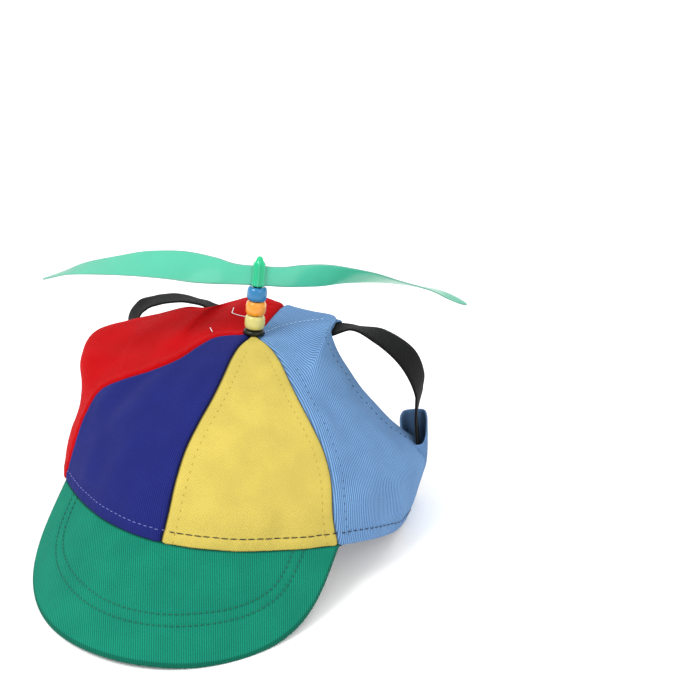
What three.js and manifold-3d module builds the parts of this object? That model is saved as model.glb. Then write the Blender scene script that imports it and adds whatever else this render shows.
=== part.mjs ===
// A pet's propeller cap: a four-panel cotton crown with ear openings, a stiff brim, one elastic strap that
// runs through a casing behind the crown and a sleeve at each side tip, and a propeller on a beaded spindle.
// Millimetres. The cap is modelled with its rim plane level, then leaned back as it rests on a table:
// on the brim's front corners and the two side tips. Front is -Y, the wearer's left is +X, up is +Z.
import * as THREE from "three";
import { mergeVertices } from "three/addons/utils/BufferGeometryUtils.js";
import Module from "manifold-3d";

const wasm = await Module();
wasm.setup();

// Driving dimensions: crown
const RIM_HALF_WIDTH = 64;
const FRONT_DEPTH = 38;
const APEX_BACK = 47;
const APEX_HEIGHT = 66.5;
const CLOTH = 1.6;
const SEAM_GAP = 0.3;
const APEX_HOLE_RADIUS = 2.1;
const DOME_LEAN = 3;

// Driving dimensions: how the cap rests
const REST_LEAN = THREE.MathUtils.degToRad(11.3);
const REST_SHIFT = new THREE.Vector3(0.6, -11, 21.5);

// Driving dimensions: brim
const BRIM_LENGTH = 52.3;
const BRIM_HALF_WIDTH = 63.9;
const BRIM_SWAY = 1.2;
const BRIM_SLOPE = THREE.MathUtils.degToRad(39.5);
const BRIM_SQUARENESS = 4.2;
const BRIM_THICKNESS = 2.6;
const BRIM_TUCK = 2.2;
const BRIM_END_ANGLE = 0.156;

// Driving dimensions: strap and its tunnels
const STRAP_WIDTH = 15;
const STRAP_THICKNESS = 1.3;
const TUNNEL_CLEARANCE = 0.4;
const TUNNEL_WALL = 1.1;
const TUNNEL_INSET = 8.6;
const TUNNEL_SINK = 0.5;

// Driving dimensions: spindle, beads and propeller
const SPINDLE_RADIUS = 1.6;
const SPINDLE_HEAD_RADIUS = 5;
const SPINDLE_HEAD_HEIGHT = 1.2;
const SPINDLE_DROP = 0.6;
const BORE_RADIUS = 1.9;
const WASHER_RADIUS = 4.8;
const WASHER_HEIGHT = 2;
const WASHER_CHAMFER = 0.6;
const BEAD_RADIUS = 4.45;
const BEAD_HEIGHT = 6.05;
const BEAD_LIP = 0.5;
const STACK_GAP = 0.3;
const WASHER_SEAT = 0.6;
const HUB_RADIUS = 2.9;
const HUB_BORE_DEPTH = 10;
const RIB_RADIUS = 0.75;
const RIB_TOP_RADIUS = 0.6;
const RIB_SIDES = 8;
const RIB_COUNT = 6;
const PROPELLER_RADIUS = 92;
const BLADE_THICKNESS = 1;
const BLADE_EDGE = 0.6;
const BLADE_LIFT = 0.2;
const PROPELLER_TURN = THREE.MathUtils.degToRad(27);

// Front dome's fullness at its right, centre and left seams: 2 is a quarter ellipse, less is flatter.
const DOME_FULLNESS = [
  { at: -1, power: 1.95 },
  { at: 0, power: 1.6 },
  { at: 1, power: 1.72 },
];

// How far each front seam sways off its straight run from the apex (at = 0) to the rim (at = 1), as a share
// of the rim's half width towards the wearer's left.
const SEAM_SWAY = [
  { at: 0, right: -0.15, centre: -0.3, left: 0.12 },
  { at: 0.12, right: -0.12, centre: -0.24, left: 0.09 },
  { at: 0.2, right: 0.05, centre: -0.15, left: 0.03 },
  { at: 0.3, right: 0.17, centre: -0.06, left: -0.03 },
  { at: 0.4, right: 0.12, centre: -0.03, left: -0.04 },
  { at: 0.5, right: 0, centre: -0.04, left: -0.02 },
  { at: 0.6, right: -0.1, centre: -0.045, left: 0 },
  { at: 0.7, right: -0.06, centre: -0.025, left: 0 },
  { at: 0.85, right: 0.01, centre: 0.01, left: -0.02 },
  { at: 1, right: 0, centre: 0.02, left: 0 },
];

// Side panel sections: each starts on the front seam (at = 0 at the apex, 1 at the rim) and ends on the rear
// edge at x, y, z, with x measured outwards; inward is how far it has turned towards the centre line there,
// in degrees, and lead how strongly it carries on from the front panel. The rear edge turns forward round
// the casing's mouth before it runs down the ear opening. The sky panel is drawn in by its strap; the red one
// lies flared out.
const SKY_SECTIONS = [
  { at: 0, x: 0, y: 81, z: 72.5, inward: 0, lead: 1 },
  { at: 0.14, x: 14, y: 80, z: 72.3, inward: 0, lead: 0.95 },
  { at: 0.27, x: 26.3, y: 76, z: 73, inward: 0, lead: 0.56 },
  { at: 0.345, x: 31.7, y: 57.5, z: 71.3, inward: 0, lead: 0.95 },
  { at: 0.42, x: 34.3, y: 60, z: 63.5, inward: 0, lead: 1 },
  { at: 0.5, x: 40.3, y: 61, z: 55.3, inward: 0, lead: 1 },
  { at: 0.58, x: 46.8, y: 62, z: 47.5, inward: 0, lead: 1 },
  { at: 0.65, x: 54.5, y: 63.5, z: 40.2, inward: 5, lead: 1 },
  { at: 0.71, x: 60.6, y: 66, z: 34.4, inward: 10, lead: 1 },
  { at: 0.76, x: 64.8, y: 71, z: 29.2, inward: 16, lead: 1 },
  { at: 0.82, x: 72, y: 85, z: 18, inward: 24, lead: 1 },
  { at: 0.91, x: 71, y: 86, z: 3, inward: 24, lead: 1 },
  { at: 1, x: 71, y: 74, z: -9, inward: 16, lead: 1 },
];
const RED_SECTIONS = [
  { at: 0, x: 0, y: 81, z: 72.5, inward: 0, lead: 1 },
  { at: 0.12, x: 12.8, y: 80, z: 74.4, inward: 0, lead: 0.95 },
  { at: 0.24, x: 25, y: 79, z: 70, inward: 0, lead: 0.56 },
  { at: 0.31, x: 29, y: 60.5, z: 70.6, inward: 0, lead: 0.95 },
  { at: 0.4, x: 40, y: 63, z: 68, inward: 0, lead: 1 },
  { at: 0.48, x: 53, y: 62, z: 63, inward: 0, lead: 1 },
  { at: 0.54, x: 66.5, y: 59, z: 58, inward: 5, lead: 1 },
  { at: 0.62, x: 82, y: 56, z: 49.5, inward: 15, lead: 1 },
  { at: 0.7, x: 80, y: 66, z: 32, inward: 20, lead: 1 },
  { at: 0.82, x: 72, y: 85, z: 18, inward: 24, lead: 1 },
  { at: 0.91, x: 71, y: 86, z: 3, inward: 24, lead: 1 },
  { at: 1, x: 71, y: 74, z: -9, inward: 16, lead: 1 },
];
const FAN_END = 0.3;
const SKY_CASING_AT = [0.005, 0.09, 0.18, 0.27];
const RED_CASING_AT = [0.005, 0.08, 0.16, 0.24];
const SLEEVE_AT = [0.84, 0.89];
const SLEEVE_MOUTH = { x: 69.2, y: 75.5, z: 35 };
const SLEEVE_SLANT = THREE.MathUtils.degToRad(23);
const SLEEVE_FLARE = 6;
const MOUTH_BLOCK = 60;

// Free stretches of each half of the strap, with x measured outwards; turn and dip are the angles of its
// width direction in degrees, inward from +Y and down at the rear. The ear arcs run from the casing's mouth
// to the sleeve's; the chin run is placed by where it lies and its height over the table.
const SKY_ARC = [
  { x: 38.5, y: 68, z: 71.8, turn: 22, dip: 9 },
  { x: 50.2, y: 69, z: 70.1, turn: 9, dip: -10 },
  { x: 63, y: 71, z: 62.5, turn: -8, dip: -12 },
  { x: 68.4, y: 73, z: 53.6, turn: -7, dip: 4 },
  { x: 69.7, y: 74, z: 47, turn: 6, dip: 12 },
];
const RED_ARC = [
  { x: 33, y: 69, z: 69.4, turn: -20, dip: 6 },
  { x: 39.7, y: 69, z: 69.7, turn: -20, dip: 8 },
  { x: 48.5, y: 70, z: 68.8, turn: -18, dip: 2 },
  { x: 55, y: 71, z: 67.2, turn: -18, dip: -1 },
  { x: 62, y: 72, z: 64.2, turn: -32, dip: 5 },
  { x: 69, y: 73, z: 58.8, turn: -46, dip: 11 },
  { x: 73, y: 74, z: 51, turn: -38, dip: 10 },
];
const CHIN_RUN = [
  { x: 66, y: 77, up: 9 },
  { x: 63.5, y: 76, up: 5 },
  { x: 59, y: 75, up: 2 },
  { x: 51, y: 73, up: 0.2 },
  { x: 38, y: 68, up: 0 },
  { x: 19, y: 63, up: 0 },
];

// Propeller blade sections: share of the radius, chord, pitch above the rotor plane in degrees, and droop.
const BLADE_SECTIONS = [
  { share: 0, chord: 8.8, pitch: 90, drop: 0 },
  { share: 0.08, chord: 9, pitch: 88, drop: 0 },
  { share: 0.2, chord: 11.5, pitch: 72, drop: -1 },
  { share: 0.3, chord: 13.5, pitch: 60, drop: -1.8 },
  { share: 0.42, chord: 15.2, pitch: 41, drop: -2.4 },
  { share: 0.55, chord: 16, pitch: 28.5, drop: -2 },
  { share: 0.64, chord: 15.6, pitch: 20.5, drop: -1 },
  { share: 0.8, chord: 13.2, pitch: 12, drop: 1.2 },
  { share: 0.9, chord: 10, pitch: 4, drop: 3.8 },
  { share: 0.96, chord: 6.5, pitch: 2, drop: 5.8 },
  { share: 1, chord: 1.6, pitch: 0, drop: 7.2 },
];

// Lower half of a bead's outside, as insets from its radius; the hub's outside from its foot to its tip.
const BEAD_PROFILE = [
  { inset: 1.3, z: 0 },
  { inset: 0.4, z: 0.6 },
  { inset: 0, z: 1.8 },
];
const HUB_PROFILE = [
  { r: 0, z: 0 },
  { r: HUB_RADIUS, z: 0 },
  { r: HUB_RADIUS, z: 9.8 },
  { r: 2.1, z: 11.4 },
  { r: 0.9, z: 12.9 },
  { r: 0, z: 13.2 },
];

// Mesh densities
const FRONT_GRID = { columns: 8, rows: 24 };
const SIDE_GRID = { columns: 12, rows: 32 };
const BRIM_GRID = { columns: 32, rows: 6 };
const BAND_STEPS = 3;
const TURNED_SIDES = 16;
const MESH_TOLERANCE = 0.02;

const COLOURS = {
  blue: 0x2f3a94,
  yellow: 0xf0dc62,
  red: 0xd4141f,
  sky: 0x7ba4d8,
  green: 0x12946c,
  black: 0x151517,
  mint: 0x4fd9ae,
  beadYellow: 0xf3e07a,
  beadOrange: 0xffaa3c,
  beadBlue: 0x2b8fe0,
  gunmetal: 0x2a2a22,
};

// Small geometry helpers

const vec = (x, y, z) => new THREE.Vector3(x, y, z);
const lerp = THREE.MathUtils.lerp;

// A closed surface from a grid of points that wraps in neither direction, walled to an inner copy of itself.
function shellGeometry(outer, inner) {
  const rows = outer.length;
  const cols = outer[0].length;
  const points = [...outer.flat(), ...inner.flat()];
  const front = (i, j) => i * cols + j;
  const rear = (i, j) => rows * cols + i * cols + j;
  const faces = [];
  const quad = (a, b, c, d) => faces.push(a, b, c, a, c, d);
  for (let i = 0; i < rows - 1; i++)
    for (let j = 0; j < cols - 1; j++) {
      quad(front(i, j), front(i, j + 1), front(i + 1, j + 1), front(i + 1, j));
      quad(rear(i, j), rear(i + 1, j), rear(i + 1, j + 1), rear(i, j + 1));
    }
  for (let i = 0; i < rows - 1; i++) {
    quad(front(i, 0), front(i + 1, 0), rear(i + 1, 0), rear(i, 0));
    quad(front(i, cols - 1), rear(i, cols - 1), rear(i + 1, cols - 1), front(i + 1, cols - 1));
  }
  for (let j = 0; j < cols - 1; j++) {
    quad(front(0, j), rear(0, j), rear(0, j + 1), front(0, j + 1));
    quad(front(rows - 1, j), front(rows - 1, j + 1), rear(rows - 1, j + 1), rear(rows - 1, j));
  }
  return facedOut(points, faces);
}

// A closed surface lofted through rings of points; a loop joins its last ring to its first.
function loftGeometry(rings, loop = false) {
  const sides = rings[0].length;
  const faces = [];
  const spans = loop ? rings.length : rings.length - 1;
  for (let i = 0; i < spans; i++)
    for (let k = 0; k < sides; k++) {
      const a = i * sides + k;
      const b = i * sides + ((k + 1) % sides);
      const next = ((i + 1) % rings.length) * sides;
      const c = next + ((k + 1) % sides);
      const d = next + k;
      faces.push(a, b, c, a, c, d);
    }
  if (!loop)
    for (let k = 1; k < sides - 1; k++) {
      const last = (rings.length - 1) * sides;
      faces.push(0, k + 1, k, last, last + k, last + k + 1);
    }
  return facedOut(rings.flat(), faces);
}

// A geometry whose faces point outwards, whichever way round its points were listed.
function facedOut(points, faces) {
  let volume = 0;
  for (let i = 0; i < faces.length; i += 3) {
    const [a, b, c] = [points[faces[i]], points[faces[i + 1]], points[faces[i + 2]]];
    volume += a.dot(b.clone().cross(c));
  }
  const index = volume > 0 ? faces : faces.slice().reverse();
  return new THREE.BufferGeometry().setFromPoints(points).setIndex(index);
}

function toSolid(geometry) {
  const bare = geometry.clone();
  bare.deleteAttribute("normal");
  bare.deleteAttribute("uv");
  const merged = mergeVertices(bare, 1e-4);
  return new wasm.Manifold(
    new wasm.Mesh({
      numProp: 3,
      vertProperties: new Float32Array(merged.attributes.position.array),
      triVerts: new Uint32Array(merged.index.array),
    }),
  );
}

function toGeometry(solid) {
  const mesh = solid.getMesh();
  const geometry = new THREE.BufferGeometry();
  geometry.setAttribute("position", new THREE.BufferAttribute(mesh.vertProperties, 3));
  geometry.setIndex(new THREE.BufferAttribute(mesh.triVerts, 1));
  geometry.computeVertexNormals();
  return geometry;
}

// Crown surfaces, in the cap's own frame

const APEX = vec(0, APEX_BACK, APEX_HEIGHT);
const CROWN_CENTRE = vec(0, 30, 0);

const rimPoint = (across) => vec(RIM_HALF_WIDTH * across, -FRONT_DEPTH * (1 - across * across), 0);
const domePower = (across) => 2 / readTable(DOME_FULLNESS, "power", THREE.MathUtils.clamp(across, -1, 1));

// Front dome: across runs from -1 at the right brim corner to 1 at the left one, down from 0 at the apex
// to 1 at the rim.
function frontPoint(across, down) {
  const rim = rimPoint(across);
  const angle = (down * Math.PI) / 2;
  const power = domePower(across);
  const reach = Math.sin(angle) ** power;
  const rise = Math.max(Math.cos(angle), 0) ** power;
  const lean = DOME_LEAN * (1 - across * across) * Math.sin(2 * angle);
  return vec(rim.x * reach + lean, lerp(APEX.y, rim.y, reach), APEX.z * rise);
}

// How far down the front dome the spindle's hole ends.
function holeDown(across) {
  const rim = rimPoint(across);
  const reach = APEX_HOLE_RADIUS / Math.hypot(rim.x, APEX.y - rim.y);
  return (2 / Math.PI) * Math.asin(reach ** (1 / domePower(across)));
}

// Reads a column of a table whose rows are spaced by their "at" values.
function readTable(rows, column, at) {
  const next = rows.findIndex((row) => row.at >= at);
  if (next <= 0) return rows[Math.max(next, 0)][column];
  const [a, b] = [rows[next - 1], rows[next]];
  return lerp(a[column], b[column], (at - a.at) / (b.at - a.at));
}

// Reads a column of such a table with a smooth curve through its rows.
function readSmooth(rows, column, at) {
  const next = Math.max(rows.findIndex((row) => row.at >= at), 1);
  const slope = (k) => {
    const [a, b] = [rows[Math.max(k - 1, 0)], rows[Math.min(k + 1, rows.length - 1)]];
    return (b[column] - a[column]) / (b.at - a.at);
  };
  const [a, b] = [rows[next - 1], rows[next]];
  const span = b.at - a.at;
  const t = (at - a.at) / span;
  return (
    a[column] * (2 * t ** 3 - 3 * t ** 2 + 1) +
    slope(next - 1) * span * (t ** 3 - 2 * t ** 2 + t) +
    b[column] * (3 * t ** 2 - 2 * t ** 3) +
    slope(next) * span * (t ** 3 - t ** 2)
  );
}

// Where a front seam runs across the dome.
const SEAMS = { right: -1, centre: 0, left: 1 };
const seamAcross = (seam, down) => SEAMS[seam] + readSmooth(SEAM_SWAY, seam, down);

// A point of the front dome by a side seam, as if on the +X side.
function seamPoint(side, down, beyond = 0) {
  const p = frontPoint(seamAcross(side > 0 ? "left" : "right", down) + side * beyond, down);
  return vec(side * p.x, p.y, p.z);
}

// Direction across the front seam, where the side panel takes over.
function seamHeading(side, down) {
  const step = 1e-3;
  return seamPoint(side, down, step).sub(seamPoint(side, down, -step)).normalize();
}

// A side panel's surface, as if on the +X side: along runs from 0 at the front seam to 1 at the rear edge, at
// from 0 at the apex to 1 at the rim.
function sideSurface(sections, side) {
  const curve = new THREE.CatmullRomCurve3(sections.map((s) => vec(s.x, s.y, s.z)), false, "centripetal");
  const places = sections.map((s, k) => ({ at: s.at, place: k / (sections.length - 1) }));
  return (along, at) => {
    const start = seamPoint(side, at);
    const end = curve.getPoint(readTable(places, "place", at));
    const inward = THREE.MathUtils.degToRad(readTable(sections, "inward", at));
    const reach = start.distanceTo(end);
    const fanned = THREE.MathUtils.smoothstep(at, 0, FAN_END);
    const heading = seamHeading(side, Math.max(at, holeDown(side)));
    const lead = reach * readTable(sections, "lead", at);
    const leave = vec(0, 1, 0).lerp(heading, fanned).setLength(lead);
    const arrive = vec(-Math.sin(inward), Math.cos(inward), 0).multiplyScalar(reach);
    const [a, a2, a3] = [along, along ** 2, along ** 3];
    return start
      .multiplyScalar(2 * a3 - 3 * a2 + 1)
      .addScaledVector(leave, a3 - 2 * a2 + a)
      .addScaledVector(end, 3 * a2 - 2 * a3)
      .addScaledVector(arrive, a3 - a2);
  };
}

const skySurface = sideSurface(SKY_SECTIONS, 1);
const redSurface = sideSurface(RED_SECTIONS, -1);

function surfaceFrame(pointAt, u, v) {
  const step = 1e-3;
  const [u0, u1] = [Math.max(u - step, 0), Math.min(u + step, 1)];
  const [v0, v1] = [Math.max(v - step, 0), Math.min(v + step, 1)];
  const alongU = pointAt(u1, v).sub(pointAt(u0, v)).normalize();
  const alongV = pointAt(u, v1).sub(pointAt(u, v0)).normalize();
  const normal = alongU.clone().cross(alongV).normalize();
  if (normal.dot(pointAt(u, v).sub(CROWN_CENTRE)) < 0) normal.negate();
  return { point: pointAt(u, v), alongU, alongV, normal };
}

// A cloth wall over a surface, its edges drawn in by half the seam gap where it meets another panel.
function clothWall(pointAt, { columns, rows }, sewn) {
  const outer = [];
  const inner = [];
  for (let i = 0; i <= rows; i++) {
    const frames = [];
    for (let j = 0; j <= columns; j++) frames.push(surfaceFrame(pointAt, j / columns, i / rows));
    outer.push(frames.map((f) => f.point));
    inner.push(frames.map((f) => f.point.clone().addScaledVector(f.normal, -CLOTH)));
  }
  for (const grid of [outer, inner]) {
    const drawIn = (edge, next) =>
      edge.addScaledVector(next.clone().sub(edge).normalize(), SEAM_GAP / 2);
    if (sewn.top) for (let j = 0; j <= columns; j++) drawIn(grid[0][j], grid[1][j]);
    for (const row of grid) {
      if (sewn.start) drawIn(row[0], row[1]);
      if (sewn.end) drawIn(row[columns], row[columns - 1]);
    }
  }
  return shellGeometry(outer, inner);
}

// Strap: centre points with width directions, right round the loop

// Where the strap lies inside a hem, and which way its width runs there.
function tunnelPoint(surface, at) {
  const reach = surface(0, at).distanceTo(surface(1, at));
  const frame = surfaceFrame(surface, 1 - TUNNEL_INSET / reach, at);
  const depth = CLOTH + TUNNEL_CLEARANCE + STRAP_THICKNESS / 2 + TUNNEL_SINK;
  return { centre: frame.point.addScaledVector(frame.normal, -depth), width: frame.alongU };
}

function widthDirection(turn, dip) {
  const [t, d] = [turn, dip].map(THREE.MathUtils.degToRad);
  return vec(-Math.sin(t) * Math.cos(d), Math.cos(t) * Math.cos(d), -Math.sin(d));
}

// Height of the table top in the cap's leaning frame.
function tableHeight(y) {
  return (y * Math.sin(REST_LEAN) - REST_SHIFT.z) / Math.cos(REST_LEAN);
}

// One half of the strap, on the +X side: through the casing, round the ear, down the sleeve, under the chin.
function strapHalf(surface, casingAt, earArc) {
  const casing = casingAt.map((at) => tunnelPoint(surface, at));
  const sleeve = SLEEVE_AT.map((at) => tunnelPoint(surface, at));
  const mouth = vec(SLEEVE_MOUTH.x, SLEEVE_MOUTH.y, SLEEVE_MOUTH.z);
  sleeve.unshift({ centre: mouth, width: sleeve[0].width });
  const arc = earArc.map(({ x, y, z, turn, dip }) => ({
    centre: vec(x, y, z),
    width: widthDirection(turn, dip),
  }));
  const flat = widthDirection(0, -THREE.MathUtils.radToDeg(REST_LEAN));
  const lying = STRAP_THICKNESS / 2 + SEAM_GAP;
  const chin = CHIN_RUN.map(({ x, y, up }) => ({
    centre: vec(x, y, tableHeight(y) + lying + up),
    width: flat,
  }));
  return { casing, sleeve, run: [...casing, ...arc, ...sleeve, ...chin] };
}

const mirrored = ({ centre, width }) => ({
  centre: vec(-centre.x, centre.y, centre.z),
  width: vec(-width.x, width.y, width.z),
});
const skyHalf = strapHalf(skySurface, SKY_CASING_AT, SKY_ARC);
const redHalf = strapHalf(redSurface, RED_CASING_AT, RED_ARC);

// Rings of a flat band along a run of centres and width directions, thicker by flare where it starts.
function bandRings(run, { width, thickness, flare = 0, loop = false }) {
  const centres = new THREE.CatmullRomCurve3(run.map((p) => p.centre), loop, "centripetal");
  const widths = new THREE.CatmullRomCurve3(run.map((p) => p.width), loop, "centripetal");
  const count = (loop ? run.length : run.length - 1) * BAND_STEPS;
  const rings = [];
  for (let i = 0; i < (loop ? count : count + 1); i++) {
    const t = i / count;
    const centre = centres.getPoint(t);
    const tangent = centres.getTangent(t);
    const side = widths.getPoint(t);
    side.addScaledVector(tangent, -side.dot(tangent)).normalize();
    const face = tangent.clone().cross(side).normalize();
    const depth = (thickness + flare * (1 - t)) / 2;
    const corner = (a, b) =>
      centre.clone().addScaledVector(side, (a * width) / 2).addScaledVector(face, b * depth);
    rings.push([corner(-1, -1), corner(1, -1), corner(1, 1), corner(-1, 1)]);
  }
  return rings;
}

const strapLoop = [...skyHalf.run, ...redHalf.run.slice(1).reverse().map(mirrored)];

const tunnelSize = {
  width: STRAP_WIDTH + 2 * (TUNNEL_CLEARANCE + TUNNEL_WALL),
  thickness: STRAP_THICKNESS + 2 * (TUNNEL_CLEARANCE + TUNNEL_WALL),
};
const channelSize = {
  width: STRAP_WIDTH + 2 * TUNNEL_CLEARANCE,
  thickness: STRAP_THICKNESS + 2 * TUNNEL_CLEARANCE,
};

// Floor, as a block under the table top, in the cap's own frame

const restPose = new THREE.Matrix4().compose(
  REST_SHIFT,
  new THREE.Quaternion().setFromAxisAngle(vec(1, 0, 0), -REST_LEAN),
  vec(1, 1, 1),
);
const FLOOR_BLOCK = 400;
const floorBlock = toSolid(
  new THREE.BoxGeometry(FLOOR_BLOCK, FLOOR_BLOCK, FLOOR_BLOCK)
    .translate(0, 0, -FLOOR_BLOCK / 2)
    .applyMatrix4(restPose.clone().invert()),
);

const spindleHole = toSolid(
  new THREE.CylinderGeometry(APEX_HOLE_RADIUS, APEX_HOLE_RADIUS, 4 * CLOTH, TURNED_SIDES)
    .rotateX(Math.PI / 2)
    .translate(APEX.x, APEX.y, APEX.z),
);

// Pieces of the cap

function frontPanel(fromSeam, toSeam) {
  const pointAt = (u, v) => {
    const top = holeDown(lerp(SEAMS[fromSeam], SEAMS[toSeam], u));
    const down = lerp(top, 1, v);
    return frontPoint(lerp(seamAcross(fromSeam, down), seamAcross(toSeam, down), u), down);
  };
  return clothWall(pointAt, FRONT_GRID, { start: true, end: true });
}

function sidePanel(surface, half, side) {
  const pointAt = (u, v) => {
    const p = surface(u, v);
    return vec(side * p.x, p.y, p.z);
  };
  const onSide = (run) => (side > 0 ? run : run.map(mirrored));
  const band = (run, size, flare = 0) => toSolid(loftGeometry(bandRings(onSide(run), { ...size, flare })));
  const wall = toSolid(clothWall(pointAt, SIDE_GRID, { start: true, top: true }));
  const casing = band(half.casing, tunnelSize);
  const sleeve = band(half.sleeve, tunnelSize, SLEEVE_FLARE).subtract(mouthBlock(onSide(half.sleeve)));
  const hollow = band(half.sleeve, channelSize, SLEEVE_FLARE);
  const channel = toSolid(loftGeometry(bandRings(strapLoop, { ...channelSize, loop: true }), true));
  const solid = wall.add(casing).add(sleeve).subtract(hollow).subtract(channel).subtract(spindleHole);
  return toGeometry(solid.subtract(floorBlock).simplify(MESH_TOLERANCE));
}

// The block above a sleeve's mouth, whose slanting cut leaves the front lip lower than the rear one.
function mouthBlock([top, next]) {
  const upward = top.centre.clone().sub(next.centre).normalize();
  const normal = upward
    .multiplyScalar(Math.cos(SLEEVE_SLANT))
    .addScaledVector(top.width, -Math.sin(SLEEVE_SLANT))
    .normalize();
  const turn = new THREE.Quaternion().setFromUnitVectors(vec(0, 0, 1), normal);
  const centre = top.centre.clone().addScaledVector(top.width, STRAP_WIDTH / 2);
  const block = new THREE.BoxGeometry(MOUTH_BLOCK, MOUTH_BLOCK, MOUTH_BLOCK)
    .translate(0, 0, MOUTH_BLOCK / 2)
    .applyQuaternion(turn)
    .translate(centre.x, centre.y, centre.z);
  return toSolid(block);
}

function brim() {
  const { columns, rows } = BRIM_GRID;
  const through = vec(0, Math.sin(BRIM_SLOPE), -Math.cos(BRIM_SLOPE)).multiplyScalar(BRIM_THICKNESS);
  const outer = [];
  const inner = [];
  for (let i = 0; i <= rows; i++) {
    const top = [];
    for (let j = 0; j <= columns; j++) {
      const angle = lerp(BRIM_END_ANGLE, Math.PI - BRIM_END_ANGLE, j / columns);
      const wide = Math.abs(Math.cos(angle)) ** BRIM_SQUARENESS;
      const reach = (wide + Math.sin(angle) ** BRIM_SQUARENESS) ** (-1 / BRIM_SQUARENESS);
      const x = -BRIM_HALF_WIDTH * reach * Math.cos(angle);
      const length = BRIM_LENGTH * reach * Math.sin(angle);
      const out = lerp(-BRIM_TUCK, length, i / rows);
      const rimY = -FRONT_DEPTH * (1 - (x / RIM_HALF_WIDTH) ** 2);
      const free = Math.max(out, 0);
      const sway = (BRIM_SWAY * free) / BRIM_LENGTH;
      top.push(vec(x + sway, rimY - out * Math.cos(BRIM_SLOPE), -SEAM_GAP - free * Math.sin(BRIM_SLOPE)));
    }
    outer.push(top);
    inner.push(top.map((p) => p.clone().add(through)));
  }
  return toGeometry(toSolid(shellGeometry(outer, inner)).subtract(floorBlock));
}

function strap() {
  const rings = bandRings(strapLoop, { width: STRAP_WIDTH, thickness: STRAP_THICKNESS, loop: true });
  return loftGeometry(rings, true);
}

// Pieces on the spindle, each about its own vertical axis with its foot at z = 0

function turned(profile, sides = TURNED_SIDES) {
  const points = profile.map(([r, z]) => new THREE.Vector2(r, z));
  return new THREE.LatheGeometry(points, sides).rotateX(Math.PI / 2);
}

const turnedRing = (profile) => turned([...profile, profile[0]]);

function bead() {
  const half = BEAD_PROFILE.map(({ inset, z }) => [BEAD_RADIUS - inset, z]);
  const lip = [
    [BORE_RADIUS, BEAD_LIP],
    [BORE_RADIUS + BEAD_LIP, 0],
  ];
  const lower = [...lip, ...half];
  const upper = lower.map(([r, z]) => [r, BEAD_HEIGHT - z]).reverse();
  return turnedRing([...lower, ...upper]);
}

function washer() {
  return turnedRing([
    [BORE_RADIUS, 0],
    [WASHER_RADIUS, 0],
    [WASHER_RADIUS, WASHER_HEIGHT - WASHER_CHAMFER],
    [WASHER_RADIUS - WASHER_CHAMFER, WASHER_HEIGHT],
    [BORE_RADIUS, WASHER_HEIGHT],
  ]);
}

function spindle(length) {
  const under = CLOTH + STACK_GAP + SPINDLE_DROP;
  return turned([
    [0, -under - SPINDLE_HEAD_HEIGHT],
    [SPINDLE_HEAD_RADIUS, -under - SPINDLE_HEAD_HEIGHT],
    [SPINDLE_HEAD_RADIUS, -under],
    [SPINDLE_RADIUS, -under],
    [SPINDLE_RADIUS, length],
    [0, length],
  ]);
}

function propeller() {
  const rings = [];
  const sections = [
    ...BLADE_SECTIONS.slice(1).reverse().map((s) => ({ ...s, hand: -1 })),
    ...BLADE_SECTIONS.map((s) => ({ ...s, hand: 1 })),
  ];
  const rootHeight = BLADE_SECTIONS[0].chord / 2 + BLADE_LIFT;
  for (const { share, chord, pitch, drop, hand } of sections) {
    const angle = THREE.MathUtils.degToRad(pitch);
    const chordwise = vec(0, -hand * Math.cos(angle), Math.sin(angle));
    const through = vec(0, Math.sin(angle), hand * Math.cos(angle));
    const centre = vec(hand * share * PROPELLER_RADIUS, 0, rootHeight - drop);
    const corner = (a, b) =>
      centre
        .clone()
        .addScaledVector(chordwise, (a * chord) / 2)
        .addScaledVector(through, (b * BLADE_THICKNESS) / 2);
    const lower = [corner(-1, -BLADE_EDGE), corner(0, -1), corner(1, -BLADE_EDGE)];
    const upper = [corner(1, BLADE_EDGE), corner(0, 1), corner(-1, BLADE_EDGE)];
    rings.push([...lower, ...upper]);
  }
  const shoulder = HUB_PROFILE[2].z;
  let solid = toSolid(loftGeometry(rings)).add(toSolid(turned(HUB_PROFILE.map(({ r, z }) => [r, z]))));
  for (let k = 0; k < RIB_COUNT; k++) {
    const turn = ((k + 0.5) * 2 * Math.PI) / RIB_COUNT;
    const rib = new THREE.CylinderGeometry(RIB_TOP_RADIUS, RIB_RADIUS, shoulder, RIB_SIDES)
      .rotateX(Math.PI / 2)
      .translate(HUB_RADIUS * Math.cos(turn), HUB_RADIUS * Math.sin(turn), shoulder / 2);
    solid = solid.add(toSolid(rib));
  }
  const bore = turned([
    [0, -STACK_GAP],
    [BORE_RADIUS, -STACK_GAP],
    [BORE_RADIUS, HUB_BORE_DEPTH],
    [0, HUB_BORE_DEPTH],
  ]);
  return toGeometry(solid.subtract(toSolid(bore)));
}

// Assembly

function cloth(colour) {
  return new THREE.MeshStandardMaterial({ color: colour, roughness: 0.9, metalness: 0 });
}

function plastic(colour, roughness = 0.2) {
  return new THREE.MeshStandardMaterial({ color: colour, roughness, metalness: 0 });
}

function piece(name, geometry, material) {
  const mesh = new THREE.Mesh(geometry, material);
  mesh.name = name;
  return mesh;
}

const cap = new THREE.Group();
cap.position.copy(REST_SHIFT);
cap.rotation.x = -REST_LEAN;
cap.add(
  piece("front_panel_blue", frontPanel("right", "centre"), cloth(COLOURS.blue)),
  piece("front_panel_yellow", frontPanel("centre", "left"), cloth(COLOURS.yellow)),
  piece("side_panel_red", sidePanel(redSurface, redHalf, -1), cloth(COLOURS.red)),
  piece("side_panel_sky", sidePanel(skySurface, skyHalf, 1), cloth(COLOURS.sky)),
  piece("brim", brim(), cloth(COLOURS.green)),
  piece("strap", strap(), cloth(COLOURS.black)),
);

const stack = new THREE.Group();
stack.position.copy(APEX);
cap.add(stack);

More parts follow.
